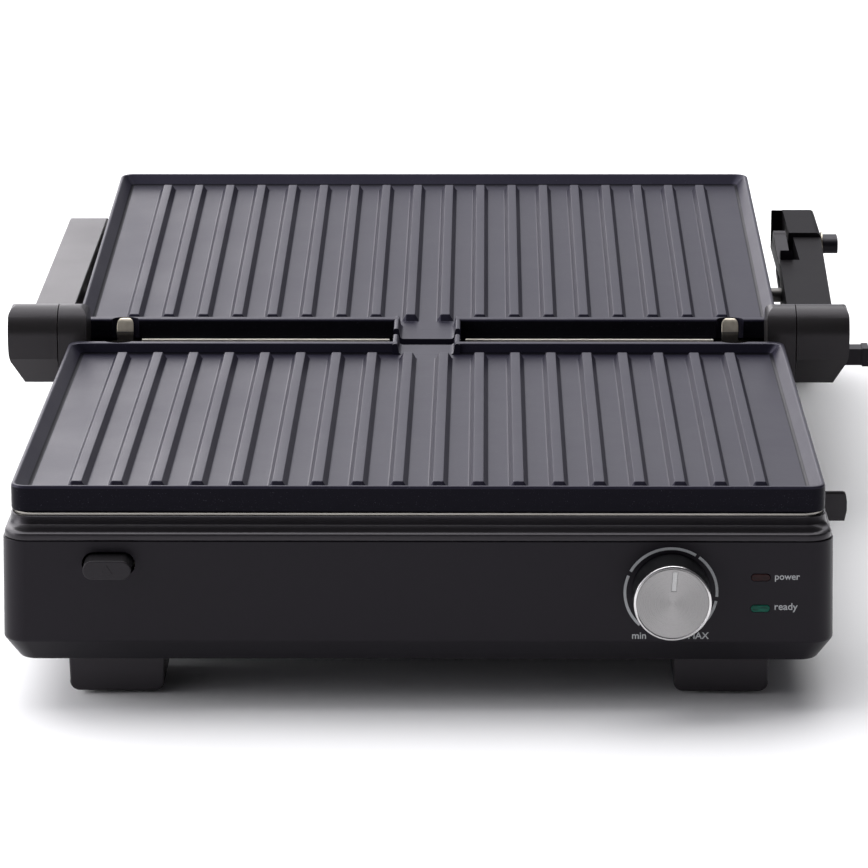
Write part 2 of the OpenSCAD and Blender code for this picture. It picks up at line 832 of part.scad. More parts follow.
module handle_grip() {
    color("dimgray") difference() {
        intersection() {
            rod_x(-124, 124, bar_y, bar_z, bar_r + 1.8);
            block(-130, 130, 0, 300, 1.6, 40);
        }
        rod_x(-130, 130, bar_y, bar_z, bar_r - 0.4);
    }
}

module handle_end_caps() {
    color(plastic) {
        rod_x(end_x1, end_x1 + 1.2, bar_y, bar_z + 1, 8);
        rod_x(-left_x1 - 1.2, -left_x1, bar_y, bar_z + 1, 8);
    }
}

module handle_pads() {
    color(rubber) {
        block(end_x0 + 2, end_x1 - 2, arm_end - leg_d + 4, arm_end - 4, 0, pad_h);
        block(-left_x1 + 2, -left_leg_x0 - 2, arm_end - leg_d + 4, arm_end - 4, 0, pad_h);
    }
}

module arm_screws() {
    color(steel) for (x = [(end_x0 + end_x1) / 2, -(left_leg_x0 + left_x1) / 2]) {
        translate([x, arm_end - leg_d - 1.6, 30]) rotate([-90, 0, 0]) cylinder(h = 1.6, r = 3.4);
    }
}

module hinge_release_tab() {
    color(plastic) at_axis() {
        block(hub_x0 + 13.6, 183, -4, 4, -13.9, -6.9);
        block(183, 185.8, -4.6, 4.6, -14.3, -6.5);
    }
}

// Thumb piece outside the right arm, shaft through it, hook along its inner side
module latch_lever() {
    hook_x0 = arm_x0 + 3.6;
    hook_x1 = hook_x0 + 5.6;
    color(plastic) {
        rod_x(hook_x0, end_x1 + 2, latch_y, latch_z, 3);
        translate([0, latch_y, latch_z]) along_x(end_x1 + 1, end_x1 + 7.7) stadium(14, 7.4);
        translate([0, latch_y, latch_z]) along_x(hook_x0, hook_x1) {
            circle(6);
            polygon([[0, -5.5], [-hook_len, -4.6], [-hook_len, 9], [-hook_len + 5.2, 6.8],
                [-hook_len + 5.2, 0.8], [0, 5.5]]);
        }
    }
}

module latch_washer() {
    color(steel) difference() {
        rod_x(end_x1 + 0.2, end_x1 + 0.8, latch_y, latch_z, 5.5);
        rod_x(end_x1 - 1, end_x1 + 2, latch_y, latch_z, 3.1);
    }
}

module latch_catch() {
    color(plastic) difference() {
        union() {
            block(house_hw + 0.75, 158.6, catch_y, catch_y + catch_d, catch_z0, catch_z1);
            along_y(catch_y, catch_y + catch_d)
                polygon([[158, catch_z0], [160.4, catch_z0], [161, catch_z0 + 5], [160, catch_z1 - 1.2],
                    [158.6, catch_z1], [158, catch_z1]]);
        }
    }
}

module lid_pivot_pin() {
    rod_x(137, arm_x0 + 12, pivot_y, pivot_z, pivot_r);
}

module lid_pivot_pin_right() {
    color(steel) lid_pivot_pin();
}

module lid_pivot_pin_left() {
    color(steel) mirror([1, 0, 0]) lid_pivot_pin();
}

base_shell();
base_cover();
front_feet();
rear_foot_bar();
foot_pads();
base_screws();
lower_steel_tray();
lower_heating_element();
lower_plate_clips();
lower_grill_plate();
lower_release_button();
lower_plate_latch();
lower_button_spring();
control_knob();
knob_shaft();
thermostat();
indicator_board();
power_lamp_window();
ready_lamp_window();
terminal_block();
cord_gland();
drip_tray();
hinge_bracket_left();
hinge_bracket_right();
hinge_pin_left();
hinge_pin_right();
latch_catch();
handle_arm_left();
handle_arm_right();
hub_cover_left();
hub_cover_right();
handle_bar();
handle_grip();
handle_end_caps();
handle_pads();
arm_screws();
hinge_release_tab();
latch_lever();
latch_washer();
lid_shell();
lid_bezel();
lid_pivot_pin_left();
lid_pivot_pin_right();
lid_screws();
upper_steel_tray();
upper_heating_element();
upper_plate_clips();
upper_grill_plate();
upper_release_button();
upper_plate_latch();
upper_button_spring();
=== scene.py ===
"""Looks of the panini press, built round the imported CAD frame. Lengths are in mm until a mesh is made."""
import json
import math

import bmesh
import bpy
from mathutils import Matrix, Vector


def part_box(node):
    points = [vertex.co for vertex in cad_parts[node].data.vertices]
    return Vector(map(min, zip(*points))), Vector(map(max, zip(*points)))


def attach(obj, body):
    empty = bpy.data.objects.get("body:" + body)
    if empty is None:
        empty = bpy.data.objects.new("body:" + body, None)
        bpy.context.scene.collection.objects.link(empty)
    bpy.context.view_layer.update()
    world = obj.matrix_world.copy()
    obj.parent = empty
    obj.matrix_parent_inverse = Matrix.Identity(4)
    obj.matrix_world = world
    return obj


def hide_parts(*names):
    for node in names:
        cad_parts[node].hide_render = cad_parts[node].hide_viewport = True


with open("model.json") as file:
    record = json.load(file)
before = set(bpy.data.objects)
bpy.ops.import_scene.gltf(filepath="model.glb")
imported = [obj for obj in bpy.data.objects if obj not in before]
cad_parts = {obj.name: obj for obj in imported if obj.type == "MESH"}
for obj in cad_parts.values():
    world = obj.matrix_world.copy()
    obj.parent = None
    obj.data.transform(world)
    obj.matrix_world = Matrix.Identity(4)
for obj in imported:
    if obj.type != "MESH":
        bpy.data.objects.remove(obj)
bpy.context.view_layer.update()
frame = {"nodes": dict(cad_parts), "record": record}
NODES = frame["nodes"]
MM = 0.001


def mm_box(node):
    """Lowest and highest corner of a CAD node, in mm."""
    lo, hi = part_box(node)
    return Vector(lo) / MM, Vector(hi) / MM


# ---------------------------------------------------------------- measures

# Hinge axis, and the slopes of the two halves in degrees
HINGE_Z = 77.0
RIM_DROP = 0.5
LOWER_TILT = 1.8
UPPER_TILT = 2.7

# Grill plate: half width, hinge side, free side, floor below the rim, ribs, spout, clips
PLATE_HW = 149.0
PLATE_Y0 = 17.5
PLATE_Y1 = 251.0
FLOOR_Z = -4.6
RIB_COUNT = 18
RIB_PITCH = 14.8
SPOUT_HW = 14.2
SPOUT_Y = 4.5
CLIP_X = 128.5

# Heights below the rim of the plate: ledge, bead round the steel tray, lip, seam
COVER_TOP = -12.1
BEAD_TOP = -11.2
LIP_TOP = -15.3
SEAM_Z = -18.4
SEAM_GAP = 0.3

# Housings
HOUSE_HW = 151.2
SEAM_HW = HOUSE_HW + 0.63
HOUSE_Y = 259.0
CORNER_R = 9.0
BASE_BACK = 8.0
LID_FRONT = 14.0
LID_DEPTH = 42.0

# Controls on the front panel
BUTTON_X = 112.7
LOWER_BUTTON_Z = 57.1
UPPER_BUTTON_Z = SEAM_Z - 7.5
BUTTON_FACE = 267.0
BUTTON_BACK = 246.8
KNOB = (92.5, -275.0, 47.4)
POINTER_TURN = Matrix.Rotation(math.radians(4), 4, "Y")
SCALE_Z = 46.5
LAMP_X = 125.2
POWER_Z = 52.3
READY_Z = 40.4

# Hinge, arms and feet
HUB_R = 11.2
HUB_LEFT_END = 175.6
HUB_RIGHT_END = 177.0
PIN_BORE = 4.4
PIVOT = (112, 64)
PIVOT_BORE = 3.4
BAR = (214, 11.2)
BAR_BORE = 7.6
ARM_TOP = 75
FOOT_X = 112.3

WORLD = Matrix.Identity(4)
ON_BASE = (
    Matrix.Translation((0, 0, HINGE_Z - RIM_DROP))
    @ Matrix.Rotation(math.radians(-LOWER_TILT), 4, "X")
    @ Matrix.Rotation(math.pi, 4, "Z")
)
ON_LID = Matrix.Translation((0, 0, HINGE_Z - RIM_DROP)) @ Matrix.Rotation(math.radians(UPPER_TILT), 4, "X")


# ---------------------------------------------------------------- camera, light, stage

def make_camera():
    yaw, el, roll = (math.radians(a) for a in (0.732, 16.146, -0.152))
    forward = Vector((-math.sin(yaw) * math.cos(el), math.cos(yaw) * math.cos(el), -math.sin(el)))
    level = Vector((math.cos(yaw), math.sin(yaw), 0))
    rise = level.cross(forward)
    right = level * math.cos(roll) + rise * math.sin(roll)
    up = right.cross(forward)
    cam = bpy.data.cameras.new("camera")
    cam.sensor_width = 36
    cam.lens = 177.7
    cam.clip_end = 50
    obj = bpy.data.objects.new("camera", cam)
    turn = Matrix((right, up, -forward)).transposed().to_4x4()
    obj.matrix_world = Matrix.Translation((0.02519, -1.74542, 0.53698)) @ turn
    bpy.context.scene.collection.objects.link(obj)
    bpy.context.scene.camera = obj


def area_light(name, place, target, size, power, color=(1, 1, 1)):
    light = bpy.data.lights.new(name, "AREA")
    light.shape = "RECTANGLE"
    light.size, light.size_y = size
    light.energy = power
    light.color = color
    obj = bpy.data.objects.new(name, light)
    aim = (Vector(target) - Vector(place)).to_track_quat("-Z", "Y")
    obj.matrix_world = Matrix.Translation(place) @ aim.to_matrix().to_4x4()
    bpy.context.scene.collection.objects.link(obj)


def make_world():
    """White room that is bright behind and to the left of the object, and dark in front of it."""
    world = bpy.data.worlds.new("studio")
    world.use_nodes = True
    nodes, links = world.node_tree.nodes, world.node_tree.links
    tex = nodes.new("ShaderNodeTexCoord")
    aim = nodes.new("ShaderNodeVectorMath")
    aim.operation = "DOT_PRODUCT"
    aim.inputs[1].default_value = (-1.1, 0.62, 0.40)
    links.new(tex.outputs["Generated"], aim.inputs[0])
    glow = nodes.new("ShaderNodeMapRange")
    glow.interpolation_type = "SMOOTHSTEP"
    glow.inputs["From Min"].default_value = -0.15
    glow.inputs["From Max"].default_value = 0.95
    glow.inputs["To Min"].default_value = 0.10
    glow.inputs["To Max"].default_value = 1.12
    links.new(aim.outputs["Value"], glow.inputs["Value"])
    back = nodes["Background"]
    back.inputs["Color"].default_value = (0.94, 0.93, 1.0, 1)
    links.new(glow.outputs["Result"], back.inputs["Strength"])
    bpy.context.scene.world = world


def make_light():
    make_world()
    area_light("top_panel", (-0.4, 0.9, 2.5), (0, -0.1, 0), (3.8, 3.2), 105)
    area_light("back_left_panel", (-1.25, 2.9, 1.15), (0, 0, 0.05), (2.0, 1.7), 22, (1.0, 0.97, 0.98))
    area_light("left_panel", (-2.4, -0.4, 0.9), (0, 0, 0.05), (1.6, 1.4), 34)


def make_floor():
    mesh = bpy.data.meshes.new("floor")
    half = 9.0
    corners = [(-half, -half, 0), (half, -half, 0), (half, half, 0), (-half, half, 0)]
    mesh.from_pydata(corners, [], [(0, 1, 2, 3)])
    obj = bpy.data.objects.new("floor", mesh)
    bpy.context.scene.collection.objects.link(obj)
    mat, _, _, shader = new_material("pale_floor")
    shader.inputs["Base Color"].default_value = (0.96, 0.96, 0.96, 1)
    shader.inputs["Roughness"].default_value = 0.9
    shader.inputs["Specular IOR Level"].default_value = 0.1
    obj.data.materials.append(mat)


# ---------------------------------------------------------------- materials

def new_material(name):
    mat = bpy.data.materials.new(name)
    mat.use_nodes = True
    nodes, links = mat.node_tree.nodes, mat.node_tree.links
    return mat, nodes, links, nodes["Principled BSDF"]


def coords(nodes, links, stretch=(1, 1, 1)):
    tex = nodes.new("ShaderNodeTexCoord")
    place = nodes.new("ShaderNodeMapping")
    place.inputs["Scale"].default_value = stretch
    links.new(tex.outputs["Object"], place.inputs["Vector"])
    return place.outputs["Vector"]


def noise(nodes, links, vector, scale, detail=2.0, rough=0.5):
    n = nodes.new("ShaderNodeTexNoise")
    n.inputs["Scale"].default_value = scale
    n.inputs["Detail"].default_value = detail
    n.inputs["Roughness"].default_value = rough
    links.new(vector, n.inputs["Vector"])
    return n.outputs["Fac"]


def ramp(nodes, links, fac, stops):
    """Colour ramp through (position, colour) stops."""
    r = nodes.new("ShaderNodeValToRGB")
    while len(r.color_ramp.elements) < len(stops):
        r.color_ramp.elements.new(0.5)
    for e, (pos, col) in zip(r.color_ramp.elements, stops):
        e.position = pos
        e.color = (*col, 1)
    links.new(fac, r.inputs["Fac"])
    return r.outputs["Color"]


def remap(nodes, links, fac, low, high):
    """Spreads the middle of a noise over low to high."""
    m = nodes.new("ShaderNodeMapRange")
    m.inputs["From Min"].default_value = 0.3
    m.inputs["From Max"].default_value = 0.7
    m.inputs["To Min"].default_value = low
    m.inputs["To Max"].default_value = high
    links.new(fac, m.inputs["Value"])
    return m.outputs["Result"]


def bump(nodes, links, shader, height, depth, strength=1.0):
    b = nodes.new("ShaderNodeBump")
    b.inputs["Strength"].default_value = strength
    b.inputs["Distance"].default_value = depth
    links.new(height, b.inputs["Height"])
    links.new(b.outputs["Normal"], shader.inputs["Normal"])


def plastic(name, dark, light, rough, grain=2600, depth=0.00004, specular=0.5):
    """Moulded plastic: spark texture, faint cloudiness in colour and gloss."""
    mat, nodes, links, shader = new_material(name)
    vec = coords(nodes, links)
    cloud = noise(nodes, links, vec, 14, 4, 0.6)
    spark = noise(nodes, links, vec, grain, 3, 0.6)
    links.new(ramp(nodes, links, cloud, [(0.3, dark), (0.7, light)]), shader.inputs["Base Color"])
    links.new(remap(nodes, links, cloud, rough - 0.03, rough + 0.04), shader.inputs["Roughness"])
    shader.inputs["Specular IOR Level"].default_value = specular
    shader.inputs["Specular Tint"].default_value = (0.97, 0.92, 1.0, 1)
    bump(nodes, links, shader, spark, depth, 0.6)
    return mat


def coated_cast(name, dark, light, specular):
    """Non-stick coating on cast aluminium: blue-grey, finely speckled, softly glossy."""
    mat, nodes, links, shader = new_material(name)
    vec = coords(nodes, links)
    cloud = noise(nodes, links, vec, 16, 5, 0.6)
    speck = noise(nodes, links, vec, 2300, 2, 0.5)
    base = ramp(nodes, links, cloud, [(0.3, dark), (0.7, light)])
    flecks = ramp(nodes, links, speck, [(0.0, (0, 0, 0)), (0.68, (0, 0, 0)), (0.76, (0.05, 0.05, 0.06))])
    add = nodes.new("ShaderNodeMix")
    add.data_type = "RGBA"
    add.blend_type = "ADD"
    add.inputs["Factor"].default_value = 1.0
    links.new(base, add.inputs["A"])
    links.new(flecks, add.inputs["B"])
    links.new(add.outputs["Result"], shader.inputs["Base Color"])
    links.new(remap(nodes, links, cloud, 0.34, 0.42), shader.inputs["Roughness"])
    shader.inputs["Specular IOR Level"].default_value = specular
    shader.inputs["Specular Tint"].default_value = (0.79, 0.755, 1.0, 1)
    ripple = noise(nodes, links, vec, 900, 3, 0.55)
    bump(nodes, links, shader, ripple, 0.00005, 0.45)
    return mat


def brushed_metal(name, color, rough, stretch, scale=900, streak=0.05):
    """Sheet metal with a fine grain along one direction."""
    mat, nodes, links, shader = new_material(name)
    vec = coords(nodes, links, stretch)
    grain = noise(nodes, links, vec, scale, 4, 0.65)
    low = tuple(c * (1 - streak) for c in color)
    high = tuple(min(1, c * (1 + streak)) for c in color)
    links.new(ramp(nodes, links, grain, [(0.3, low), (0.7, high)]), shader.inputs["Base Color"])
    links.new(remap(nodes, links, grain, rough - 0.06, rough + 0.08), shader.inputs["Roughness"])
    shader.inputs["Metallic"].default_value = 1.0
    bump(nodes, links, shader, grain, 0.00002, 0.35)
    return mat


def spun_metal(name, color, rough):
    """Turned face: rings about the piece's own Y axis."""
    mat, nodes, links, shader = new_material(name)
    tex = nodes.new("ShaderNodeTexCoord")
    split = nodes.new("ShaderNodeSeparateXYZ")
    links.new(tex.outputs["Object"], split.inputs["Vector"])
    squares = []
    for axis in ("X", "Z"):
        m = nodes.new("ShaderNodeMath")
        m.operation = "MULTIPLY"
        links.new(split.outputs[axis], m.inputs[0])
        links.new(split.outputs[axis], m.inputs[1])
        squares.append(m.outputs[0])
    add = nodes.new("ShaderNodeMath")
    links.new(squares[0], add.inputs[0])
    links.new(squares[1], add.inputs[1])
    root = nodes.new("ShaderNodeMath")
    root.operation = "SQRT"
    links.new(add.outputs[0], root.inputs[0])
    rings = nodes.new("ShaderNodeTexNoise")
    rings.noise_dimensions = "1D"
    rings.inputs["Scale"].default_value = 6500
    rings.inputs["Detail"].default_value = 3
    links.new(root.outputs[0], rings.inputs["W"])
    fac = rings.outputs["Fac"]
    low = tuple(c * 0.93 for c in color)
    links.new(ramp(nodes, links, fac, [(0.3, low), (0.7, color)]), shader.inputs["Base Color"])
    links.new(remap(nodes, links, fac, rough - 0.04, rough + 0.05), shader.inputs["Roughness"])
    shader.inputs["Metallic"].default_value = 1.0
    shader.inputs["Anisotropic"].default_value = 0.85
    tangent = nodes.new("ShaderNodeTangent")
    tangent.direction_type = "RADIAL"
    tangent.axis = "Y"
    links.new(tangent.outputs["Tangent"], shader.inputs["Tangent"])
    bump(nodes, links, shader, fac, 0.00001, 0.25)
    return mat


def rubber(name):
    """Matt rubber with a little dust on it."""
    mat, nodes, links, shader = new_material(name)
    vec = coords(nodes, links)
    dust = noise(nodes, links, vec, 60, 5, 0.6)
    fine = noise(nodes, links, vec, 1800, 3, 0.6)
    links.new(
        ramp(nodes, links, dust, [(0.3, (0.010, 0.010, 0.010)), (0.75, (0.024, 0.023, 0.022))]),
        shader.inputs["Base Color"],
    )
    links.new(remap(nodes, links, dust, 0.66, 0.85), shader.inputs["Roughness"])
    bump(nodes, links, shader, fine, 0.00005, 0.6)
    return mat


def lens(name, deep, bright, glow):
    """Coloured lamp window, lit softly from within."""
    mat, nodes, links, shader = new_material(name)
    vec = coords(nodes, links, (0.35, 1, 1))
    ribs = noise(nodes, links, vec, 900, 2, 0.5)
    color = ramp(nodes, links, ribs, [(0.35, deep), (0.7, bright)])
    links.new(color, shader.inputs["Base Color"])
    links.new(remap(nodes, links, ribs, 0.12, 0.22), shader.inputs["Roughness"])
    links.new(color, shader.inputs["Emission Color"])
    shader.inputs["Emission Strength"].default_value = glow
    shader.inputs["Specular IOR Level"].default_value = 0.12
    bump(nodes, links, shader, ribs, 0.00006, 0.4)
    return mat


def speckled(name, dark, light, rough, scale):
    """Plain technical material with a mottled surface, for the inner parts."""
    mat, nodes, links, shader = new_material(name)
    vec = coords(nodes, links)
    mottle = noise(nodes, links, vec, scale, 5, 0.65)
    links.new(ramp(nodes, links, mottle, [(0.3, dark), (0.7, light)]), shader.inputs["Base Color"])
    links.new(remap(nodes, links, mottle, rough - 0.05, rough + 0.06), shader.inputs["Roughness"])
    bump(nodes, links, shader, mottle, 0.00005, 0.5)
    return mat


MAT = {
    "black_plastic": plastic(
        "black_plastic", (0.0056, 0.0049, 0.0066), (0.0074, 0.0065, 0.0088), 0.36, 2600, 0.00003, 0.17),
    "cover_plastic": plastic(
        "cover_plastic", (0.0060, 0.0053, 0.0062), (0.0080, 0.0071, 0.0084), 0.30, 2600, 0.00003, 0.42),
    # Darker, near matt copy of the plastic the left arm has, used on the right arm only: painted shade for
    # the side away from the light
    "right_arm_shaded_plastic": plastic(
        "right_arm_shaded_plastic", (0.0062, 0.0056, 0.0064), (0.0084, 0.0076, 0.0086), 0.46, 2400, 0.00004, 0.04),
    # Lighter than the other black plastics: painted light, lifting the front feet out of the shade under the
    # base
    "foot_plastic_painted_light": plastic(
        "foot_plastic_painted_light", (0.0190, 0.0170, 0.0190), (0.0230, 0.0205, 0.0230), 0.42, 2400, 0.00004, 0.3),
    "hub_plastic": plastic(
        "hub_plastic", (0.0115, 0.0105, 0.0105), (0.0155, 0.0142, 0.0142), 0.34, 2200, 0.00005, 0.30),
    "button_plastic": plastic(
        "button_plastic", (0.0100, 0.0094, 0.0104), (0.0130, 0.0122, 0.0134), 0.42, 2400, 0.00003, 0.24),
    "grip_plastic": plastic(
        "grip_plastic", (0.012, 0.012, 0.012), (0.018, 0.018, 0.018), 0.62, 1500, 0.0001),
    "tray_plastic": plastic("tray_plastic", (0.020, 0.020, 0.021), (0.028, 0.028, 0.029), 0.5),
    "non_stick_coating": coated_cast(
        "non_stick_coating", (0.0130, 0.0120, 0.0205), (0.0165, 0.0153, 0.0255), 0.20),
    # Darker, duller copy of the non-stick coating: painted shade on the plates' outer walls, underside and
    # the fillet at the foot of the inner walls
    "coating_painted_shade": coated_cast(
        "coating_painted_shade", (0.0048, 0.0046, 0.0066), (0.0062, 0.0060, 0.0086), 0.07),
    "stainless_steel": brushed_metal("stainless_steel", (0.34, 0.325, 0.30), 0.34, (0.04, 1, 1)),
    "bright_steel": brushed_metal("bright_steel", (0.46, 0.42, 0.35), 0.36, (1, 0.1, 1)),
    # Much brighter than the tray's stainless steel: painted light on the narrow lip, which sits in shade
    # between the plates
    "lip_steel_painted_light": brushed_metal("lip_steel_painted_light", (0.95, 0.91, 0.82), 0.5, (0.1, 1, 1), 2600, 0.03),
    # Dark steel of the pivot pins, also put on the clips' uprights as painted shade
    "pin_steel_and_clip_shade": brushed_metal("pin_steel_and_clip_shade", (0.13, 0.125, 0.12), 0.4, (1, 1, 1)),
    "screw_steel": brushed_metal("screw_steel", (0.42, 0.41, 0.40), 0.34, (1, 1, 0.2)),
    "heater_sheath": brushed_metal("heater_sheath", (0.20, 0.18, 0.16), 0.42, (0.2, 0.2, 1), 500, 0.3),
    "knob_aluminium": spun_metal("knob_aluminium", (0.265, 0.26, 0.26), 0.26),
    "knob_edge": brushed_metal("knob_edge", (0.62, 0.61, 0.61), 0.16, (1, 1, 1), 2000, 0.02),
    "pointer_metal": brushed_metal("pointer_metal", (0.37, 0.37, 0.37), 0.3, (1, 1, 1), 2000, 0.02),
    "knob_skirt": plastic(
        "knob_skirt", (0.003, 0.003, 0.0035), (0.005, 0.005, 0.0055), 0.42, 1600, 0.00001, 0.12),
    "rubber": rubber("rubber"),
    "thermostat_ceramic": speckled("thermostat_ceramic", (0.55, 0.53, 0.48), (0.66, 0.64, 0.6), 0.5, 120),
    "board_laminate": speckled("board_laminate", (0.02, 0.10, 0.05), (0.03, 0.14, 0.07), 0.4, 300),
    "red_lens": lens("red_lens", (0.010, 0.0035, 0.004), (0.022, 0.006, 0.006), 0.10),
    "green_lens": lens("green_lens", (0.001, 0.030, 0.020), (0.003, 0.070, 0.047), 0.28),
    "print": speckled("print", (0.30, 0.31, 0.32), (0.38, 0.39, 0.40), 0.55, 1500),
}


# ---------------------------------------------------------------- mesh helpers

def sharpen(bm, degrees):
    """Smooth shading, apart from edges that turn by more than the angle."""
    limit = math.radians(degrees)
    for e in bm.edges:
        e.smooth = len(e.link_faces) == 2 and e.calc_face_angle(math.pi) < limit
    for f in bm.faces:
        f.smooth = True


def add_bevel(obj, width, segments=3, degrees=30):
    m = obj.modifiers.new("edges", "BEVEL")
    m.width = width * MM
    m.segments = segments
    m.limit_method = "ANGLE"
    m.angle_limit = math.radians(degrees)
    m.use_clamp_overlap = True


def weigh_normals(obj, weight=60):
    n = obj.modifiers.new("normals", "WEIGHTED_NORMAL")
    n.keep_sharp = True
    n.weight = weight


def bevelled(obj, width, segments=3, degrees=30):
    """Rounds the hard edges and evens the shading of the flats between them."""
    add_bevel(obj, width, segments, degrees)
    weigh_normals(obj)


def to_object(name, bm, place, mats, degrees=32, origin=(0, 0, 0)):
    """Makes an object in metres from a mesh in mm."""
    bm.normal_update()
    bmesh.ops.remove_doubles(bm, verts=bm.verts, dist=0.0005)
    bmesh.ops.recalc_face_normals(bm, faces=bm.faces)
    sharpen(bm, degrees)
    mesh = bpy.data.meshes.new(name)
    bm.to_mesh(mesh)
    bm.free()
    mesh.transform(Matrix.Scale(MM, 4) @ place)
    obj = bpy.data.objects.new(name, mesh)
    obj.location = Vector(origin) * MM
    bpy.context.scene.collection.objects.link(obj)
    for m in mats:
        mesh.materials.append(MAT[m])
    return obj


def stand_in(obj, body, slot_name, *nodes):
    """Rides obj on its body in place of the CAD nodes."""
    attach(obj, body)
    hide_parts(*nodes)


def extra(obj, body):
    """Rides obj on its body as a piece without a CAD node of its own."""
    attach(obj, body)


def join(parts):
    """One mesh made of several."""
    whole = bmesh.new()
    for part in parts:
        mesh = bpy.data.meshes.new("part")
        part.to_mesh(mesh)
        part.free()
        whole.from_mesh(mesh)
        bpy.data.meshes.remove(mesh)
    return whole


def add_ring(bm, points):
    return [bm.verts.new(p) for p in points]


def bridge(bm, a, b, mat=0):
    """Band of faces between two rings of equal length."""
    n = len(a)
    for i in range(n):
        f = bm.faces.new((a[i], a[(i + 1) % n], b[(i + 1) % n], b[i]))
        f.material_index = mat


def loft(rings, closed=False, mats=None):
    """Skin through rings of equal length. An open loft gets an n-gon at both ends."""
    bm = bmesh.new()
    loops = [add_ring(bm, r) for r in rings]
    for i in range(len(loops) - 1):
        bridge(bm, loops[i], loops[i + 1], mats[i] if mats else 0)
    if closed:
        bridge(bm, loops[-1], loops[0])
    else:
        bm.faces.new(list(reversed(loops[0])))
        last = bm.faces.new(loops[-1])
        last.material_index = mats[-1] if mats else 0
    return bm


def rounded(hw, y0, y1, r, z, seg=8):
    """Ring of points round a rectangle with rounded corners, in the plane z."""
    pts = []
    centres = ((hw - r, y1 - r, 0), (-hw + r, y1 - r, 90), (-hw + r, y0 + r, 180), (hw - r, y0 + r, 270))
    for cx, cy, a0 in centres:
        for k in range(seg + 1):
            a = math.radians(a0 + 90 * k / seg)
            pts.append(Vector((cx + r * math.cos(a), cy + r * math.sin(a), z)))
    return pts


def box_mesh(x0, x1, y0, y1, z0, z1):
    bm = bmesh.new()
    bmesh.ops.create_cube(bm, size=1)
    for v in bm.verts:
        v.co = Vector((x0 if v.co.x < 0 else x1, y0 if v.co.y < 0 else y1, z0 if v.co.z < 0 else z1))
    return bm


def prism(outline, axis, a, b):
    """Straight extrusion of a 2D outline along X, Y or Z from a to b."""
    bm = bmesh.new()

    def point(p, t):
        u, v = p
        return {"X": (t, u, v), "Y": (u, t, v), "Z": (u, v, t)}[axis]

    first = [bm.verts.new(point(p, a)) for p in outline]
    last = [bm.verts.new(point(p, b)) for p in outline]
    bridge(bm, first, last)
    bm.faces.new(list(reversed(first)))
    bm.faces.new(last)
    bmesh.ops.recalc_face_normals(bm, faces=bm.faces)
    return bm


def stadium(w, h, cx, cy, seg=10):
    """Outline of a slot with round ends."""
    pts = []
    for s, a0 in ((1, -90), (-1, 90)):
        for k in range(seg + 1):
            a = math.radians(a0 + 180 * k / seg)
            pts.append((cx + s * (w - h) / 2 + h / 2 * math.cos(a), cy + h / 2 * math.sin(a)))
    return pts


def circle(r, cx, cy, n):
    turns = [2 * math.pi * k / n for k in range(n)]
    return [(cx + r * math.cos(t), cy + r * math.sin(t)) for t in turns]


def arc(cx, cy, r, a0, a1, n=10):
    turns = [math.radians(a0 + (a1 - a0) * k / n) for k in range(n + 1)]
    return [(cx + r * math.cos(t), cy + r * math.sin(t)) for t in turns]


def mirrored(outline, side):
    """Outline in X and another axis, turned over for the left side."""
    return outline if side > 0 else [(-x, v) for x, v in reversed(outline)]


def span(side, a, b):
    return (a, b) if side > 0 else (-b, -a)


def cut(obj, tools, place=WORLD, operation="DIFFERENCE"):
    """Boolean of obj with bmesh tools, applied at once."""
    for bm in tools:
        bmesh.ops.recalc_face_normals(bm, faces=bm.faces)
        mesh = bpy.data.meshes.new("tool")
        bm.to_mesh(mesh)
        bm.free()
        mesh.transform(Matrix.Scale(MM, 4) @ place)
        tool = bpy.data.objects.new("tool", mesh)
        bpy.context.scene.collection.objects.link(tool)
        m = obj.modifiers.new("cut", "BOOLEAN")
        m.operation = operation
        m.solver = "EXACT"
        m.object = tool
        bpy.context.view_layer.update()
        done = bpy.data.meshes.new_from_object(obj.evaluated_get(bpy.context.evaluated_depsgraph_get()))
        obj.modifiers.clear()
        obj.data = done
        bpy.data.objects.remove(tool)


def resharpen(obj, degrees=32):
    """Sets the hard edges again after a boolean."""
    bm = bmesh.new()
    bm.from_mesh(obj.data)
    bmesh.ops.remove_doubles(bm, verts=bm.verts, dist=2e-6)
    sharpen(bm, degrees)
    bm.to_mesh(obj.data)
    bm.free()


# ---------------------------------------------------------------- grill plates

# Half section of a rib and of its end, as (distance, height)
RIB_SECTION = [(0.0, 2.9), (1.45, 2.9), (1.80, 2.85), (2.05, 2.62), (3.30, 0.46), (3.60, 0.14), (4.10, 0.0)]
RIB_END = [(0.0, 0.0), (0.35, 0.14), (0.6, 0.46), (1.7, 2.62), (2.0, 2.85), (2.4, 2.9)]
RIB_H = 2.9
RIB_Y = (28.5, 239.0)
# Ribbed field: half width, ends, and the border strip that is spread round the corners
FIELD_HW = 142.7
FIELD_Y = (22.7, 244.7)
KEEP = 5.7
BORDER_STEPS = (0, 0.6, 1.2, 1.9, 2.6, 3.4, 4.3, KEEP)


def interpolate(table, t):
    for (a, ha), (b, hb) in zip(table, table[1:]):
        if t <= b:
            return ha + (hb - ha) * max(0.0, (t - a) / (b - a))
    return table[-1][1]


def rib_height(x, y):
    half = (RIB_COUNT - 1) / 2
    i = round(x / RIB_PITCH + half)
    if not 0 <= i < RIB_COUNT:
        return 0.0
    across = interpolate(RIB_SECTION, abs(x - (i - half) * RIB_PITCH))
    along = interpolate(RIB_END, min(y - RIB_Y[0], RIB_Y[1] - y))
    return max(0.0, across * along / RIB_H)


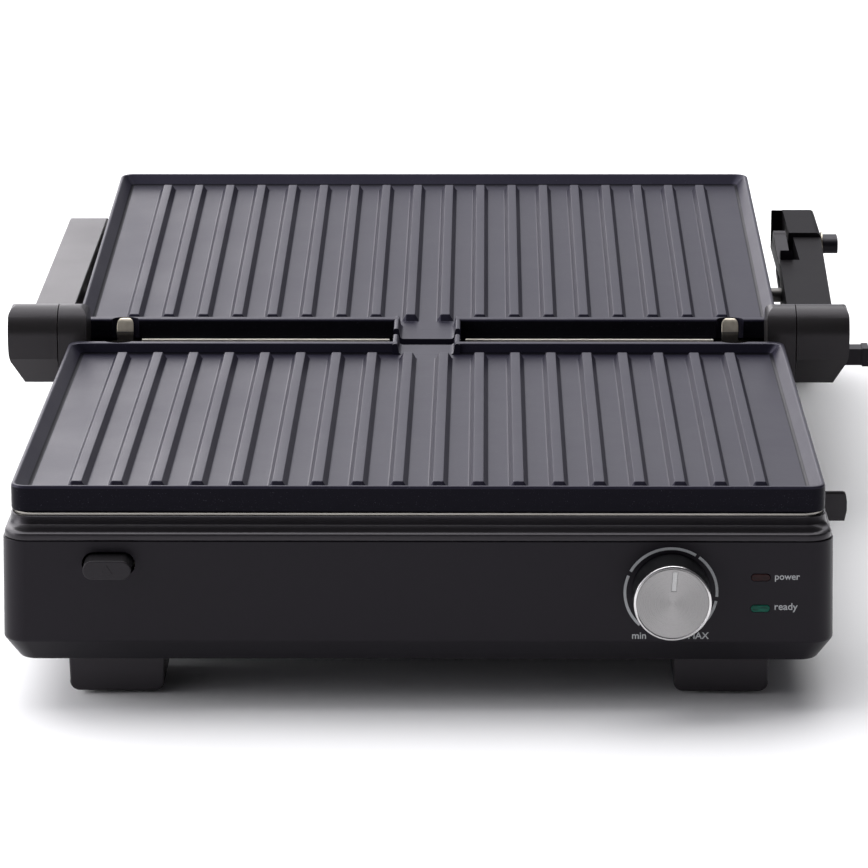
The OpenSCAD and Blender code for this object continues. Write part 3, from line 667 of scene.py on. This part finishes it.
def field_lines():
    """Grid lines of the field: dense at the border and on every rib."""
    xs = [FIELD_HW - d for d in BORDER_STEPS]
    xs += [-x for x in xs]
    for i in range(RIB_COUNT):
        c = (i - (RIB_COUNT - 1) / 2) * RIB_PITCH
        xs += [c + s * u for u, _ in RIB_SECTION for s in (-1, 1)]
    ys = [FIELD_Y[0] + d for d in BORDER_STEPS]
    ys += [FIELD_Y[1] - d for d in BORDER_STEPS]
    ys += [RIB_Y[0] + t for t, _ in RIB_END] + [RIB_Y[1] - t for t, _ in RIB_END]
    ys += [RIB_Y[0] + 8 + 28 * k for k in range(8)]
    return sorted({round(x, 4) for x in xs}), sorted({round(y, 4) for y in ys})


# Each row: inset at the sides and the free side, inset at the hinge side, height, corner radius
PLATE_LOOPS = [
    (5.75, 4.85, -4.52, 1.4), (5.30, 4.55, -4.22, 1.8), (4.95, 4.40, -3.80, 2.1),
    (1.95, 3.95, -0.62, 4.1), (1.72, 3.80, -0.26, 4.3), (1.42, 3.45, -0.05, 4.5), (1.15, 3.0, 0.0, 4.7),
    (0.80, 1.2, 0.0, 5.0), (0.42, 0.50, -0.10, 5.3), (0.14, 0.15, -0.42, 5.5), (0.0, 0.0, -0.95, 5.6),
    (0.0, 0.0, -8.8, 5.6), (0.16, 0.12, -9.5, 5.5), (0.55, 0.5, -9.9, 5.3), (1.2, 1.2, -10.0, 5.0),
    (4.0, 4.5, -10.0, 3.4), (4.5, 5.0, -9.5, 3.2), (4.5, 5.0, -7.6, 3.2),
]


WALL_TOP = -0.95
WALL_RAISE = 1.4
# Material index of the darker copy of the coating: painted shade
SHADE_COATING_INDEX = 1


def onto_ring(x, y, side, back, r):
    """Carries a point on the field's border out to a rounded outline, 45 degrees of arc per half corner."""
    hw, y0, y1 = PLATE_HW - side, PLATE_Y0 + back, PLATE_Y1 - side
    mid = (y0 + y1) / 2
    mid_f = (FIELD_Y[0] + FIELD_Y[1]) / 2
    half_y, half_f = (y1 - y0) / 2, (FIELD_Y[1] - FIELD_Y[0]) / 2
    on_x_side = abs(abs(x) - FIELD_HW) < 1e-3
    on_y_side = min(abs(y - FIELD_Y[0]), abs(y - FIELD_Y[1])) < 1e-3

    def along(u, limit, half):
        """Point along a straight side and its arc, as (distance along, drop inward)."""
        keep = limit - KEEP
        if abs(u) <= keep:
            return u, 0.0
        straight = half - r - keep
        s = (abs(u) - keep) / KEEP * (straight + r * math.pi / 4)
        sign = 1 if u > 0 else -1
        if s <= straight:
            return sign * (keep + s), 0.0
        a = (s - straight) / r
        return sign * (half - r + r * math.sin(a)), r - r * math.cos(a)

    if on_x_side and on_y_side:
        a = math.pi / 4
        sx, sy = (1 if x > 0 else -1), (1 if y > mid_f else -1)
        return sx * (hw - r + r * math.sin(a)), mid + sy * (half_y - r + r * math.cos(a))
    if on_x_side:
        v, drop = along(y - mid_f, half_f, half_y)
        return (hw - drop) * (1 if x > 0 else -1), mid + v
    u, drop = along(x, FIELD_HW, hw)
    return u, (y1 - drop) if y > mid_f else (y0 + drop)


def plate_mesh():
    xs, ys = field_lines()
    bm = bmesh.new()
    grid = [[bm.verts.new((x, y, FLOOR_Z + rib_height(x, y))) for x in xs] for y in ys]
    for j in range(len(ys) - 1):
        for i in range(len(xs) - 1):
            bm.faces.new((grid[j][i], grid[j][i + 1], grid[j + 1][i + 1], grid[j + 1][i]))
    border = [grid[0][i] for i in range(len(xs))] + [grid[j][-1] for j in range(1, len(ys))]
    border += [grid[-1][i] for i in range(len(xs) - 2, -1, -1)]
    border += [grid[j][0] for j in range(len(ys) - 2, 0, -1)]
    flat = [(v.co.x, v.co.y) for v in border]
    last = border
    # Bands whose ring lies more than 0.1 mm below WALL_TOP take the darker copy of the coating: painted
    # shade on the floor fillet, the outer walls and the underside
    for side, back, z, r in PLATE_LOOPS:
        ring = add_ring(bm, [(*onto_ring(x, y, side, back, r), z) for x, y in flat])
        bridge(bm, last, ring, SHADE_COATING_INDEX if z < WALL_TOP - 0.1 else 0)
        last = ring
    bm.faces.new(last).material_index = SHADE_COATING_INDEX
    return bm


def spout_section():
    """U-shaped section of the spout, outside first, then the channel."""
    w, floor = SPOUT_HW, FLOOR_Z
    half = [(w - 2.0, -10.0), (w - 0.6, -9.4), (w, -8.0), (w, -1.0), (w - 0.35, -0.3), (w - 0.9, -0.03)]
    half += [(w - 1.7, -0.03), (w - 2.1, -0.3), (w - 2.3, -0.7), (w - 2.9, floor + 0.7)]
    half += [(w - 3.6, floor + 0.12), (w - 4.4, floor)]
    return half + [(-x, z) for x, z in reversed(half)]


def channel_section():
    """Opening through the rim that leads into the spout."""
    floor = FLOOR_Z
    half = [(-12.1, 2), (-12.1, -0.5), (-11.3, floor + 0.7), (-10.6, floor + 0.12), (-9.8, floor + 0.01)]
    return half + [(-x, z) for x, z in reversed(half)]


def clip_notch(side):
    """Round notch in the rim, where a clip reaches over it."""
    turns = [k * math.pi / 12 for k in range(24)]
    return [(side * CLIP_X + 5.9 * math.cos(t), 16.9 + 3.9 * math.sin(t)) for t in turns]


def raise_hinge_wall(obj, place):
    """The wall on the hinge side ends a little higher than the others."""
    back = place.inverted() @ Matrix.Scale(1 / MM, 4)
    out = Matrix.Scale(MM, 4) @ place
    for v in obj.data.vertices:
        p = back @ v.co
        if p.z < -7.7 and p.y < 24:
            p.z += WALL_RAISE * min(1.0, (24 - p.y) / 4)
            v.co = out @ p


def make_plate(name, place, body, node):
    obj = to_object(name, plate_mesh(), place, ["non_stick_coating", "coating_painted_shade"])
    raise_hinge_wall(obj, place)
    notches = [prism(clip_notch(s), "Z", -12, 1) for s in (-1, 1)]
    cut(obj, [prism(channel_section(), "Y", 14, 23.2)] + notches, place)
    cut(obj, [prism(spout_section(), "Y", SPOUT_Y, 22.4)], place, "UNION")
    resharpen(obj, 30)
    weigh_normals(obj)
    stand_in(obj, body, "non_stick_coating", node)


# ---------------------------------------------------------------- housings

def cover_rings(back):
    """Closed section of the moulding under a plate: inner wall, bead, ledge, lip, seam."""
    rows = [
        # half width, free side, hinge side, height, corner radius
        (130.9, 240.4, 29.2, COVER_TOP - 2.6, 9.0), (130.9, 240.4, 29.2, COVER_TOP - 0.2, 9.0),
        (131.2, 240.7, 28.9, COVER_TOP, 9.0),
        (148.6, 250.65, -back + 1.2, COVER_TOP, 7.6), (148.62, 250.68, -back + 1.15, BEAD_TOP - 0.15, 7.7),
        (148.8, 250.9, -back + 1.0, BEAD_TOP, 7.8), (149.1, 251.3, -back + 0.5, BEAD_TOP, 8.0),
        (149.35, 251.6, -back + 0.2, BEAD_TOP - 0.25, 8.0),
        (149.45, 251.8, -back, LIP_TOP + 2.2, 8.0), (149.6, 252.3, -back, LIP_TOP + 1.1, 8.1),
        (149.9, 253.4, -back, LIP_TOP + 0.38, 8.3), (150.15, 255.0, -back, LIP_TOP + 0.08, 8.5),
        (150.2, 257.0, -back, LIP_TOP - 0.02, 8.6), (150.6, 258.1, -back, LIP_TOP - 0.25, 8.8),
        (151.0, 258.8, -back, LIP_TOP - 0.75, 9.0), (151.2, 259.0, -back, LIP_TOP - 1.5, 9.0),
        (151.2, 259.0, -back, SEAM_Z + 0.2, 9.0), (151.05, 258.85, -back + 0.2, SEAM_Z, 8.9),
        (147.4, 255.2, -back + 3.8, SEAM_Z, 5.6), (147.4, 255.2, -back + 3.8, SEAM_Z - 3, 5.6),
        (145.8, 249.0, -back + 5.4, SEAM_Z - 3, 4.0), (145.8, 249.0, -back + 5.4, COVER_TOP - 2.6, 4.0),
    ]
    return [rounded(hw, y0, y1, r, z) for hw, y1, y0, z, r in rows]


def make_cover(name, back, place, body, node, pockets, slot_side):
    obj = to_object(name, loft(cover_rings(back), closed=True), place, ["cover_plastic"])
    middle = slot_side * BUTTON_X
    window = box_mesh(middle - 11, middle + 11, 238.5, 248.6, SEAM_Z - 6, 0)
    cut(obj, [window], place)
    cut(obj, pockets)
    resharpen(obj, 30)
    weigh_normals(obj)
    stand_in(obj, body, "black_plastic", node)


def hinge_pockets():
    return [box_mesh(*span(s, 142.3, 170), -11.7, 10, 51.7, 100) for s in (-1, 1)]


def seam_height(y):
    """Height of the base's seam plane, which follows the plate's slope."""
    return HINGE_Z - RIM_DROP + SEAM_Z - SEAM_GAP - y * math.sin(math.radians(LOWER_TILT))


def seam_ring(inset, drop):
    """Ring round the base housing, lowered by drop from the sloping seam plane."""
    r = max(1.0, CORNER_R - inset)
    ring = rounded(SEAM_HW - inset, -HOUSE_Y + inset, BASE_BACK - inset, r, 0)
    for p in ring:
        p.z = seam_height(p.y) - drop
    return ring


def base_openings():
    """Openings for the button, knob shaft, drip tray, cord gland and lamps."""
    tools = [
        prism(stadium(19.4, 9.0, -BUTTON_X, LOWER_BUTTON_Z), "Y", -262, -250),
        prism(circle(5, KNOB[0], KNOB[2], 32), "Y", -262, -250),
        box_mesh(130, 165, -36.1, 4.1, 33.9, 49.5),
        prism(circle(5.5, -100, 37, 24), "Y", 1, 12),
    ]
    for z in (POWER_Z, READY_Z):
        tools.append(prism(stadium(7.1, 2.8, LAMP_X, z, 10), "Y", -262, -250))
    return tools


def make_base_body():
    wall = 2.6
    outer = [
        rounded(146.4, -252.2, 3.0, 6, 18.5), rounded(146.95, -252.8, 3.3, 6.4, 18.6),
        rounded(147.3, -253.2, 3.5, 6.6, 18.9), rounded(152.3, -258.6, 7.8, 8.7, 26.9),
        rounded(152.5, -258.9, 8, 8.9, 27.4), rounded(152.55, -259.0, 8, 9, 28.2),
    ]
    upper = [seam_ring(0, 0.5), seam_ring(0.1, 0.14), seam_ring(0.35, 0.0)]
    inner = [seam_ring(wall, 0.0), rounded(149.6, -256.4, 5.4, 6.5, 29), rounded(141, -248, 0.5, 6, 21.1)]
    obj = to_object("base_housing", loft(outer + upper + inner), WORLD, ["black_plastic"])
    cut(obj, base_openings() + hinge_pockets())
    resharpen(obj, 30)
    bevelled(obj, 0.35, 2, 35)
    stand_in(obj, "base", "black_plastic", "base_shell")


def make_lid_body():
    """Lid shell, lying on its back: raised middle, chamfer, wall up to the seam, then the inside."""
    d = -LID_DEPTH
    outer = [
        rounded(120, 50, 228, 14, d + 1.0), rounded(121, 49, 229, 15, d + 0.9),
        rounded(122, 48, 230, 16, d + 0.15), rounded(123, 47, 231, 16.5, d),
        rounded(141.0, 29.2, 248.6, 9, d), rounded(142.6, 28.0, 250.0, 9, d + 0.3),
        rounded(143.6, 27.1, 251.0, 9, d + 1.0),
        rounded(150.6, 15.2, 257.9, 9, d + 9.6), rounded(151.4, 14.4, 258.7, 9, d + 10.8),
        rounded(151.75, 14.0, 259.0, 9, d + 12.4), rounded(151.5, 14.0, 259.0, 9, SEAM_Z - 0.9),
        rounded(151.4, 14.1, 258.9, 9, SEAM_Z - 0.5), rounded(151.1, 14.4, 258.6, 8.8, SEAM_Z - SEAM_GAP),
    ]
    inner = [
        rounded(148.9, 16.6, 256.4, 6.6, SEAM_Z - SEAM_GAP), rounded(149.1, 16.6, 256.4, 6.6, d + 13),
        rounded(141, 29, 248, 6, d + 2.6),
    ]
    obj = to_object("lid_housing", loft(outer + inner), ON_LID, ["black_plastic"])
    cut(obj, [prism(stadium(19.4, 9.0, -BUTTON_X, UPPER_BUTTON_Z), "Y", 250, 262)], ON_LID)
    bore = circle(PIVOT_BORE, *PIVOT, 24)
    cut(obj, [prism(bore, "X", s * 155 - 10, s * 155 + 10) for s in (-1, 1)])
    resharpen(obj, 30)
    bevelled(obj, 0.35, 2, 35)
    stand_in(obj, "lid", "black_plastic", "lid_shell")


# ---------------------------------------------------------------- hinge and arms

def make_hub(side, x1, node):
    """Cover over the hinge end of an arm, rounded over the axis and at its outer end."""
    z, r = HINGE_Z, HUB_R
    sheath = arc(0, z, r, -10, 180, 26)
    sheath += [(-r, z - 9.6), (-4, z - 21.5), (14.4, z - 21.5), (14.4, z - 2)]
    end = [(155, z - 30), (x1 - 6, z - 30), (x1 - 6, z - 21.5), (x1 - 0.8, z - 11), (x1 - 0.15, z - 8)]
    end += [(x1, z - 5), (x1, z + 5.2)] + arc(x1 - 3.4, z + 7.8, 3.4, 0, 90, 8) + [(155, z + r)]
    obj = to_object(node + "_moulding", prism(sheath, "X", *span(side, 155, x1 + 1)), WORLD, ["hub_plastic"])
    cut(obj, [prism(mirrored(end, side), "Y", -40, 40)], WORLD, "INTERSECT")
    cut(obj, [prism(circle(PIN_BORE, 0, z, 32), "X", *span(side, 150, 167.4))])
    if side > 0:
        cut(obj, [box_mesh(150, 190, -4.15, 4.15, z - 14.05, z - 6.75)])
    resharpen(obj, 26)
    bevelled(obj, 0.7)
    stand_in(obj, "handle", "hub_plastic", node)


def make_bracket(side, node):
    """Hinge cheek of the base, beside a hub."""
    z, r = HINGE_Z, HUB_R
    sheath = arc(0, z, r, 0, 180, 26) + [(-r, z - 25), (7.5, z - 25), (7.5, z - 10)]
    end = [(142.6, z - 30), (154.6, z - 30), (154.6, z + 12)] + arc(147.0, z + 6.8, 4.4, 90, 180, 10)
    obj = to_object(node + "_moulding", prism(sheath, "X", *span(side, 142, 155)), WORLD, ["hub_plastic"])
    cut(obj, [prism(mirrored(end, side), "Y", -40, 40)], WORLD, "INTERSECT")
    cut(obj, [prism(circle(PIN_BORE, 0, z, 32), "X", *span(side, 144.4, 156))])
    resharpen(obj, 26)
    bevelled(obj, 0.55)
    stand_in(obj, "base", "hub_plastic", node)


def make_left_arm():
    """Straight slab that turns down into a leg at its end."""
    side = [(14.6, 58), (14.6, ARM_TOP), (213, ARM_TOP)] + arc(213, 61, 14, 84, 0, 12)
    side += [(227, 1.5), (201, 1.5), (201, 58)]
    obj = to_object("left_arm_moulding", prism(side, "X", -170.5, -152.9), WORLD, ["hub_plastic"])
    cut(obj, [
        box_mesh(-159.5, -150, 190, 240, 0, 58),
        prism(circle(BAR_BORE, *BAR, 32), "X", -167.5, -158),
        prism(circle(PIVOT_BORE, *PIVOT, 32), "X", -168.2, -150),
    ])
    resharpen(obj)
    bevelled(obj, 0.5)
    stand_in(obj, "handle", "hub_plastic", "handle_arm_left")


def make_right_arm():
    """Run that leans outwards, raised end block with the latch recess, and leg."""
    run = [(154, 14.6), (173, 14.6), (178.9, 178), (158.6, 178)]
    # The right arm takes the darker copy of the left arm's plastic: painted shade
    obj = to_object("right_arm_moulding", prism(run, "Z", 58, ARM_TOP), WORLD, ["right_arm_shaded_plastic"])
    block = [(177, 58), (177, 77), (223, 77)] + arc(223, 73, 4, 84, 0, 8) + [(227, 58)]
    leg = box_mesh(164.5, 179.3, 201, 227, 1.5, 58.4)
    cut(obj, [prism(block, "X", 159.3, 179.3), leg], WORLD, "UNION")
    shoulder = [(150, 0), (183, 0), (183, 60), (179.4, 66), (179.4, 74)] + arc(176.4, 74.1, 2.9, 5, 90, 8)
    cut(obj, [prism(shoulder + [(150, 77)], "Y", 0, 240)], WORLD, "INTERSECT")
    cut(obj, [
        box_mesh(150, 166.2, 133, 177, 61.5, 90),
        box_mesh(150, 164.3, 176, 225, 61.5, 90),
        prism(circle(3.1, 184.5, 70, 32), "X", 150, 190),
        prism(circle(PIVOT_BORE, *PIVOT, 32), "X", 150, 168.2),
        prism(circle(BAR_BORE, *BAR, 32), "X", 163, 172.5),
    ])
    resharpen(obj)
    bevelled(obj, 0.6)
    stand_in(obj, "handle", "hub_plastic", "handle_arm_right")


# ---------------------------------------------------------------- clips and steel lips

def strip(path, halves, thickness, mats):
    """Bent sheet strip. path gives (y, z), halves the half width at each point of the path."""
    pts = [Vector((y, z)) for y, z in path]
    rings = []
    for i, p in enumerate(pts):
        d = (pts[min(i + 1, len(pts) - 1)] - pts[max(i - 1, 0)]).normalized()
        n = Vector((-d.y, d.x)) * thickness / 2
        h = halves[i]
        rings.append([(-h, p.x - n.x, p.y - n.y), (h, p.x - n.x, p.y - n.y),
                      (h, p.x + n.x, p.y + n.y), (-h, p.x + n.x, p.y + n.y)])
    return loft(rings, mats=mats)


def clip_path(top):
    """Upright, crease, tongue that leans over the rim and curls at its end."""
    return [(14.9, COVER_TOP), (14.9, top - 6.4), (14.95, top - 5.5), (15.15, top - 4.9), (15.7, top - 4.0),
            (16.6, top - 2.6), (17.4, top - 1.4), (18.0, top - 0.6), (18.5, top - 0.25), (18.9, top - 0.3)]


def make_clips(name, place, body, node, top):
    """Two spring clips; their uprights take the dark pin steel as painted shade."""
    halves = [3.5, 3.5, 3.5, 3.5, 3.5, 3.5, 3.35, 2.9, 2.1, 1.2]
    parts = []
    for s in (-1, 1):
        # The first three bands of each strip, the upright, take the dark steel: painted shade
        bm = strip(clip_path(top), halves, 0.9, [1, 1, 1, 0, 0, 0, 0, 0, 0])
        for v in bm.verts:
            v.co.x += s * CLIP_X
        parts.append(bm)
    obj = to_object(name, join(parts), place, ["bright_steel", "pin_steel_and_clip_shade"], 40)
    bevelled(obj, 0.22, 2, 50)
    stand_in(obj, body, "bright_steel", node)


def make_tray_lip(name, place, body):
    """Narrow steel lip of the tray that shows under the hinge side of the plate, in a steel brightened far
    past the tray's: painted light.
    """
    section = [(15.0, -10.45), (20.0, -10.45), (20.0, -9.75), (16.0, -9.75), (16.0, -8.1), (15.0, -8.1)]
    parts = [prism(section, "X", *span(s, 16.0, 121.5)) for s in (-1, 1)]
    obj = to_object(name, join(parts), place, ["lip_steel_painted_light"])
    bevelled(obj, 0.25, 2)
    extra(obj, body)


# ---------------------------------------------------------------- controls

def turned(profile, mats=None, n=96):
    """Solid of revolution about the local Y axis from (radius, y) pairs, closed on the axis."""
    turns = [2 * math.pi * k / n for k in range(n)]
    rings = [[(r * math.cos(t), y, r * math.sin(t)) for t in turns] for r, y in profile]
    return loft(rings, mats=mats)


def make_knob():
    """Spun cap with a bright rim, black skirt, and a pointer let into the cap."""
    face = [(2.0, 0.05), (12.6, 0.05), (12.95, 0.09), (13.1, 0.30), (13.25, 0.12), (13.45, 0.02)]
    face += [(13.75, 0.10), (14.05, 0.36), (14.2, 0.75), (14.2, 1.5), (13.9, 1.6), (13.9, 2.4), (2.0, 2.4)]
    bands = [0, 0, 0, 1, 1, 1, 1, 1, 1, 0, 0, 0]
    cap = to_object("knob_cap", turned(face, bands), WORLD, ["knob_aluminium", "knob_edge"], 40, KNOB)
    cut(cap, [box_mesh(-0.95, 0.95, -1, 0.40, 4.6, 12.2)], Matrix.Translation(KNOB) @ POINTER_TURN)
    resharpen(cap, 28)
    weigh_normals(cap)
    stand_in(cap, "knob", "knob_aluminium", "control_knob")
    side = [(2.0, 2.3), (13.7, 2.3), (13.75, 1.65), (14.0, 1.55), (14.1, 1.9), (14.15, 8.0), (14.18, 14.6)]
    side += [(14.0, 15.1), (13.5, 15.2), (2.0, 15.2)]
    skirt = to_object("knob_skirt", turned(side), WORLD, ["knob_skirt"], 40, KNOB)
    weigh_normals(skirt)
    extra(skirt, "knob")
    mark = box_mesh(-0.9, 0.9, 0.16, 0.45, 4.65, 12.15)
    tip = to_object("knob_pointer", mark, POINTER_TURN, ["pointer_metal"], 30, KNOB)
    bevelled(tip, 0.12, 2)
    extra(tip, "knob")


def make_button(name, place, body, node, z, front, back):
    """Release button with a small raised triangle. front and back are the Y of its two ends."""
    x = -BUTTON_X
    cap = prism(stadium(17.7, 7.3, x, z, 14), "Y", min(front, back), max(front, back))
    obj = to_object(name, cap, place, ["button_plastic"])
    bevelled(obj, 0.45, 4)
    stand_in(obj, body, "black_plastic", node)
    outwards = 1 if front > back else -1
    triangle = [(x - 2.1, z - 1.35), (x + 2.1, z - 1.35), (x, z + 1.85)]
    lo, hi = sorted((front - outwards * 0.2, front + outwards * 0.16))
    mark = to_object(name + "_triangle", prism(triangle, "Y", lo, hi), place, ["button_plastic"])
    bevelled(mark, 0.07, 2)
    extra(mark, body)


def ring_sector(cx, cz, r0, r1, a0, a1, y0, y1):
    """Flat piece of a ring, from angle a0 to a1."""
    n = max(6, int(abs(a1 - a0) / 3))
    outline = arc(cx, cz, r1, a0, a1, n) + arc(cx, cz, r0, a1, a0, n)
    return prism(outline, "Y", y0, y1)


def word(text, left, base, width):
    """Printed word on the front panel: left edge, baseline and width in mm."""
    curve = bpy.data.curves.new(text, "FONT")
    curve.body = text
    curve.size = 1.0
    curve.extrude = 0.01
    curve.resolution_u = 5
    curve.offset = 0.012
    temp = bpy.data.objects.new(text, curve)
    bpy.context.scene.collection.objects.link(temp)
    bpy.context.view_layer.update()
    mesh = bpy.data.meshes.new_from_object(temp)
    bpy.data.objects.remove(temp)
    xs = [v.co.x for v in mesh.vertices]
    k = width / (max(xs) - min(xs))
    for v in mesh.vertices:
        y = -HOUSE_Y - (0.06 if v.co.z > 0 else -0.06)
        v.co = Vector(((v.co.x - min(xs)) * k + left, y, v.co.y * k + base)) * MM
    mesh.materials.clear()
    mesh.materials.append(MAT["print"])
    obj = bpy.data.objects.new("print_" + text.lower(), mesh)
    bpy.context.scene.collection.objects.link(obj)
    extra(obj, "base")


def make_scale():
    """Printed arcs round the knob, and the words."""
    for i, (a0, a1) in enumerate(((157.5, 228), (58, 151.5), (-5.5, 53), (-44, -11))):
        bm = ring_sector(KNOB[0], SCALE_Z, 16.3, 17.3, a0, a1, -HOUSE_Y - 0.06, -HOUSE_Y + 0.1)
        obj = to_object(f"scale_arc_{i}", bm, WORLD, ["print"])
        weigh_normals(obj)
        extra(obj, "base")
    word("min", 78.5, 28.7, 5.1)
    word("MAX", 99.0, 28.7, 7.6)
    word("power", 130.3, 51.5, 9.1)
    word("ready", 130.4, 39.9, 8.4)


def make_lamp(name, node, z, mat):
    outline = stadium(6.9, 2.6, LAMP_X, z, 10)
    obj = to_object(name, prism(outline, "Y", -HOUSE_Y - 0.25, -HOUSE_Y + 2.0), WORLD, [mat])
    bevelled(obj, 0.2, 3)
    stand_in(obj, "base", mat, node)


def make_catch():
    """Block beside the front right corner of the plate: its top falls away to the rear."""
    lo, hi = mm_box("latch_catch")
    side = [(lo.y, lo.z), (lo.y, hi.z - 1.2)] + arc(lo.y + 1.2, hi.z - 1.2, 1.2, 180, 110, 5)
    side += [(hi.y, hi.z - 5.0), (hi.y, lo.z)]
    front = [(lo.x - 1, lo.z - 1), (hi.x - 1.0, lo.z - 1), (hi.x - 0.6, lo.z + 1), (hi.x, lo.z + 4)]
    front += [(hi.x, hi.z - 4), (hi.x - 0.4, hi.z - 1.6)] + arc(hi.x - 2.2, hi.z - 1.8, 1.8, 8, 90, 6)
    front += [(lo.x - 1, hi.z)]
    obj = to_object("latch_catch_block", prism(side, "X", lo.x, hi.x + 1), WORLD, ["hub_plastic"])
    cut(obj, [prism(front, "Y", lo.y - 5, hi.y + 5)], WORLD, "INTERSECT")
    resharpen(obj, 26)
    bevelled(obj, 0.5)
    stand_in(obj, "base", "black_plastic", "latch_catch")


def make_feet():
    """Front feet with rounded lower corners. Their rubber pads stay as in the CAD."""
    parts = []
    for s in (-1, 1):
        w0, w1 = s * FOOT_X - 17.6, s * FOOT_X + 17.6
        outline = [(w0 - 0.3, 21.0), (w0 + 0.1, 6.0)] + arc(w0 + 3.6, 5.1, 3.6, 180, 270, 8)
        outline += arc(w1 - 3.6, 5.1, 3.6, 270, 360, 8) + [(w1 - 0.1, 6.0), (w1 + 0.3, 21.0)]
        parts.append(prism(outline, "Y", -240, -206))
    # The feet take the lightened plastic: painted light in their colour
    obj = to_object("front_feet_moulding", join(parts), WORLD, ["foot_plastic_painted_light"])
    bevelled(obj, 0.8, 4)
    stand_in(obj, "base", "black_plastic", "front_feet")


# ---------------------------------------------------------------- carried-over CAD nodes

def record_slots():
    """Material slot of each CAD node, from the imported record."""
    return {s["node"]: s["material_slot"] for s in frame["record"]["subparts"]}


# Edge radius in mm of the CAD nodes that stay
BEVELS = {
    "rear_foot_bar": 1.2, "foot_pads": 0.4, "drip_tray": 0.6, "handle_end_caps": 0.5, "handle_bar": 0.4,
    "hinge_release_tab": 0.5, "latch_lever": 0.7, "lower_steel_tray": 0.35, "upper_steel_tray": 0.35,
    "arm_screws": 0.4, "handle_pads": 0.4, "handle_grip": 0.8, "terminal_block": 0.5, "thermostat": 0.6,
    "cord_gland": 0.4, "lower_plate_latch": 0.2, "upper_plate_latch": 0.2, "base_screws": 0.3,
    "lid_screws": 0.3,
}


def dress_cad_nodes():
    """Gives every CAD node that stays its material, and softens its edges with modifiers."""
    slots = record_slots()
    for name, obj in sorted(NODES.items()):
        if obj.hide_render:
            continue
        obj.data.materials.clear()
        obj.data.materials.append(MAT["pin_steel_and_clip_shade" if "pivot_pin" in name else slots[name]])
        flat = obj.modifiers.new("merge", "DECIMATE")
        flat.decimate_type = "DISSOLVE"
        flat.angle_limit = math.radians(0.6)
        if name in BEVELS:
            add_bevel(obj, BEVELS[name], 3, 28)
        for p in obj.data.polygons:
            p.use_smooth = True
        weigh_normals(obj, 50)


# ---------------------------------------------------------------- build

make_camera()
make_light()
make_floor()
make_plate("lower_plate_casting", ON_BASE, "lower_plate", "lower_grill_plate")
make_plate("upper_plate_casting", ON_LID, "upper_plate", "upper_grill_plate")
drain = box_mesh(-17, 17, -12, 10, 40, 90)
make_cover("base_surround", BASE_BACK, ON_BASE, "base", "base_cover", [drain] + hinge_pockets(), 1)
make_cover("lid_surround", -LID_FRONT, ON_LID, "lid", "lid_bezel", [], -1)
make_base_body()
make_lid_body()
make_hub(-1, HUB_LEFT_END, "hub_cover_left")
make_hub(1, HUB_RIGHT_END, "hub_cover_right")
make_bracket(-1, "hinge_bracket_left")
make_bracket(1, "hinge_bracket_right")
make_left_arm()
make_right_arm()
make_clips("lower_clip_strips", ON_BASE, "base", "lower_plate_clips", -3.2)
make_clips("upper_clip_strips", ON_LID, "lid", "upper_plate_clips", 0.0)
make_tray_lip("upper_tray_lip", ON_LID, "lid")
make_tray_lip("lower_tray_lip", ON_BASE, "base")
make_knob()
make_button(
    "lower_button_cap", WORLD, "lower_button", "lower_release_button",
    LOWER_BUTTON_Z, -BUTTON_FACE, -BUTTON_BACK)
make_button(
    "upper_button_cap", ON_LID, "upper_button", "upper_release_button",
    UPPER_BUTTON_Z, BUTTON_FACE, BUTTON_BACK)
make_scale()
make_lamp("power_lamp", "power_lamp_window", POWER_Z, "red_lens")
make_lamp("ready_lamp", "ready_lamp_window", READY_Z, "green_lens")
make_feet()
make_catch()
dress_cad_nodes()

bpy.context.scene.view_settings.view_transform = "Standard"
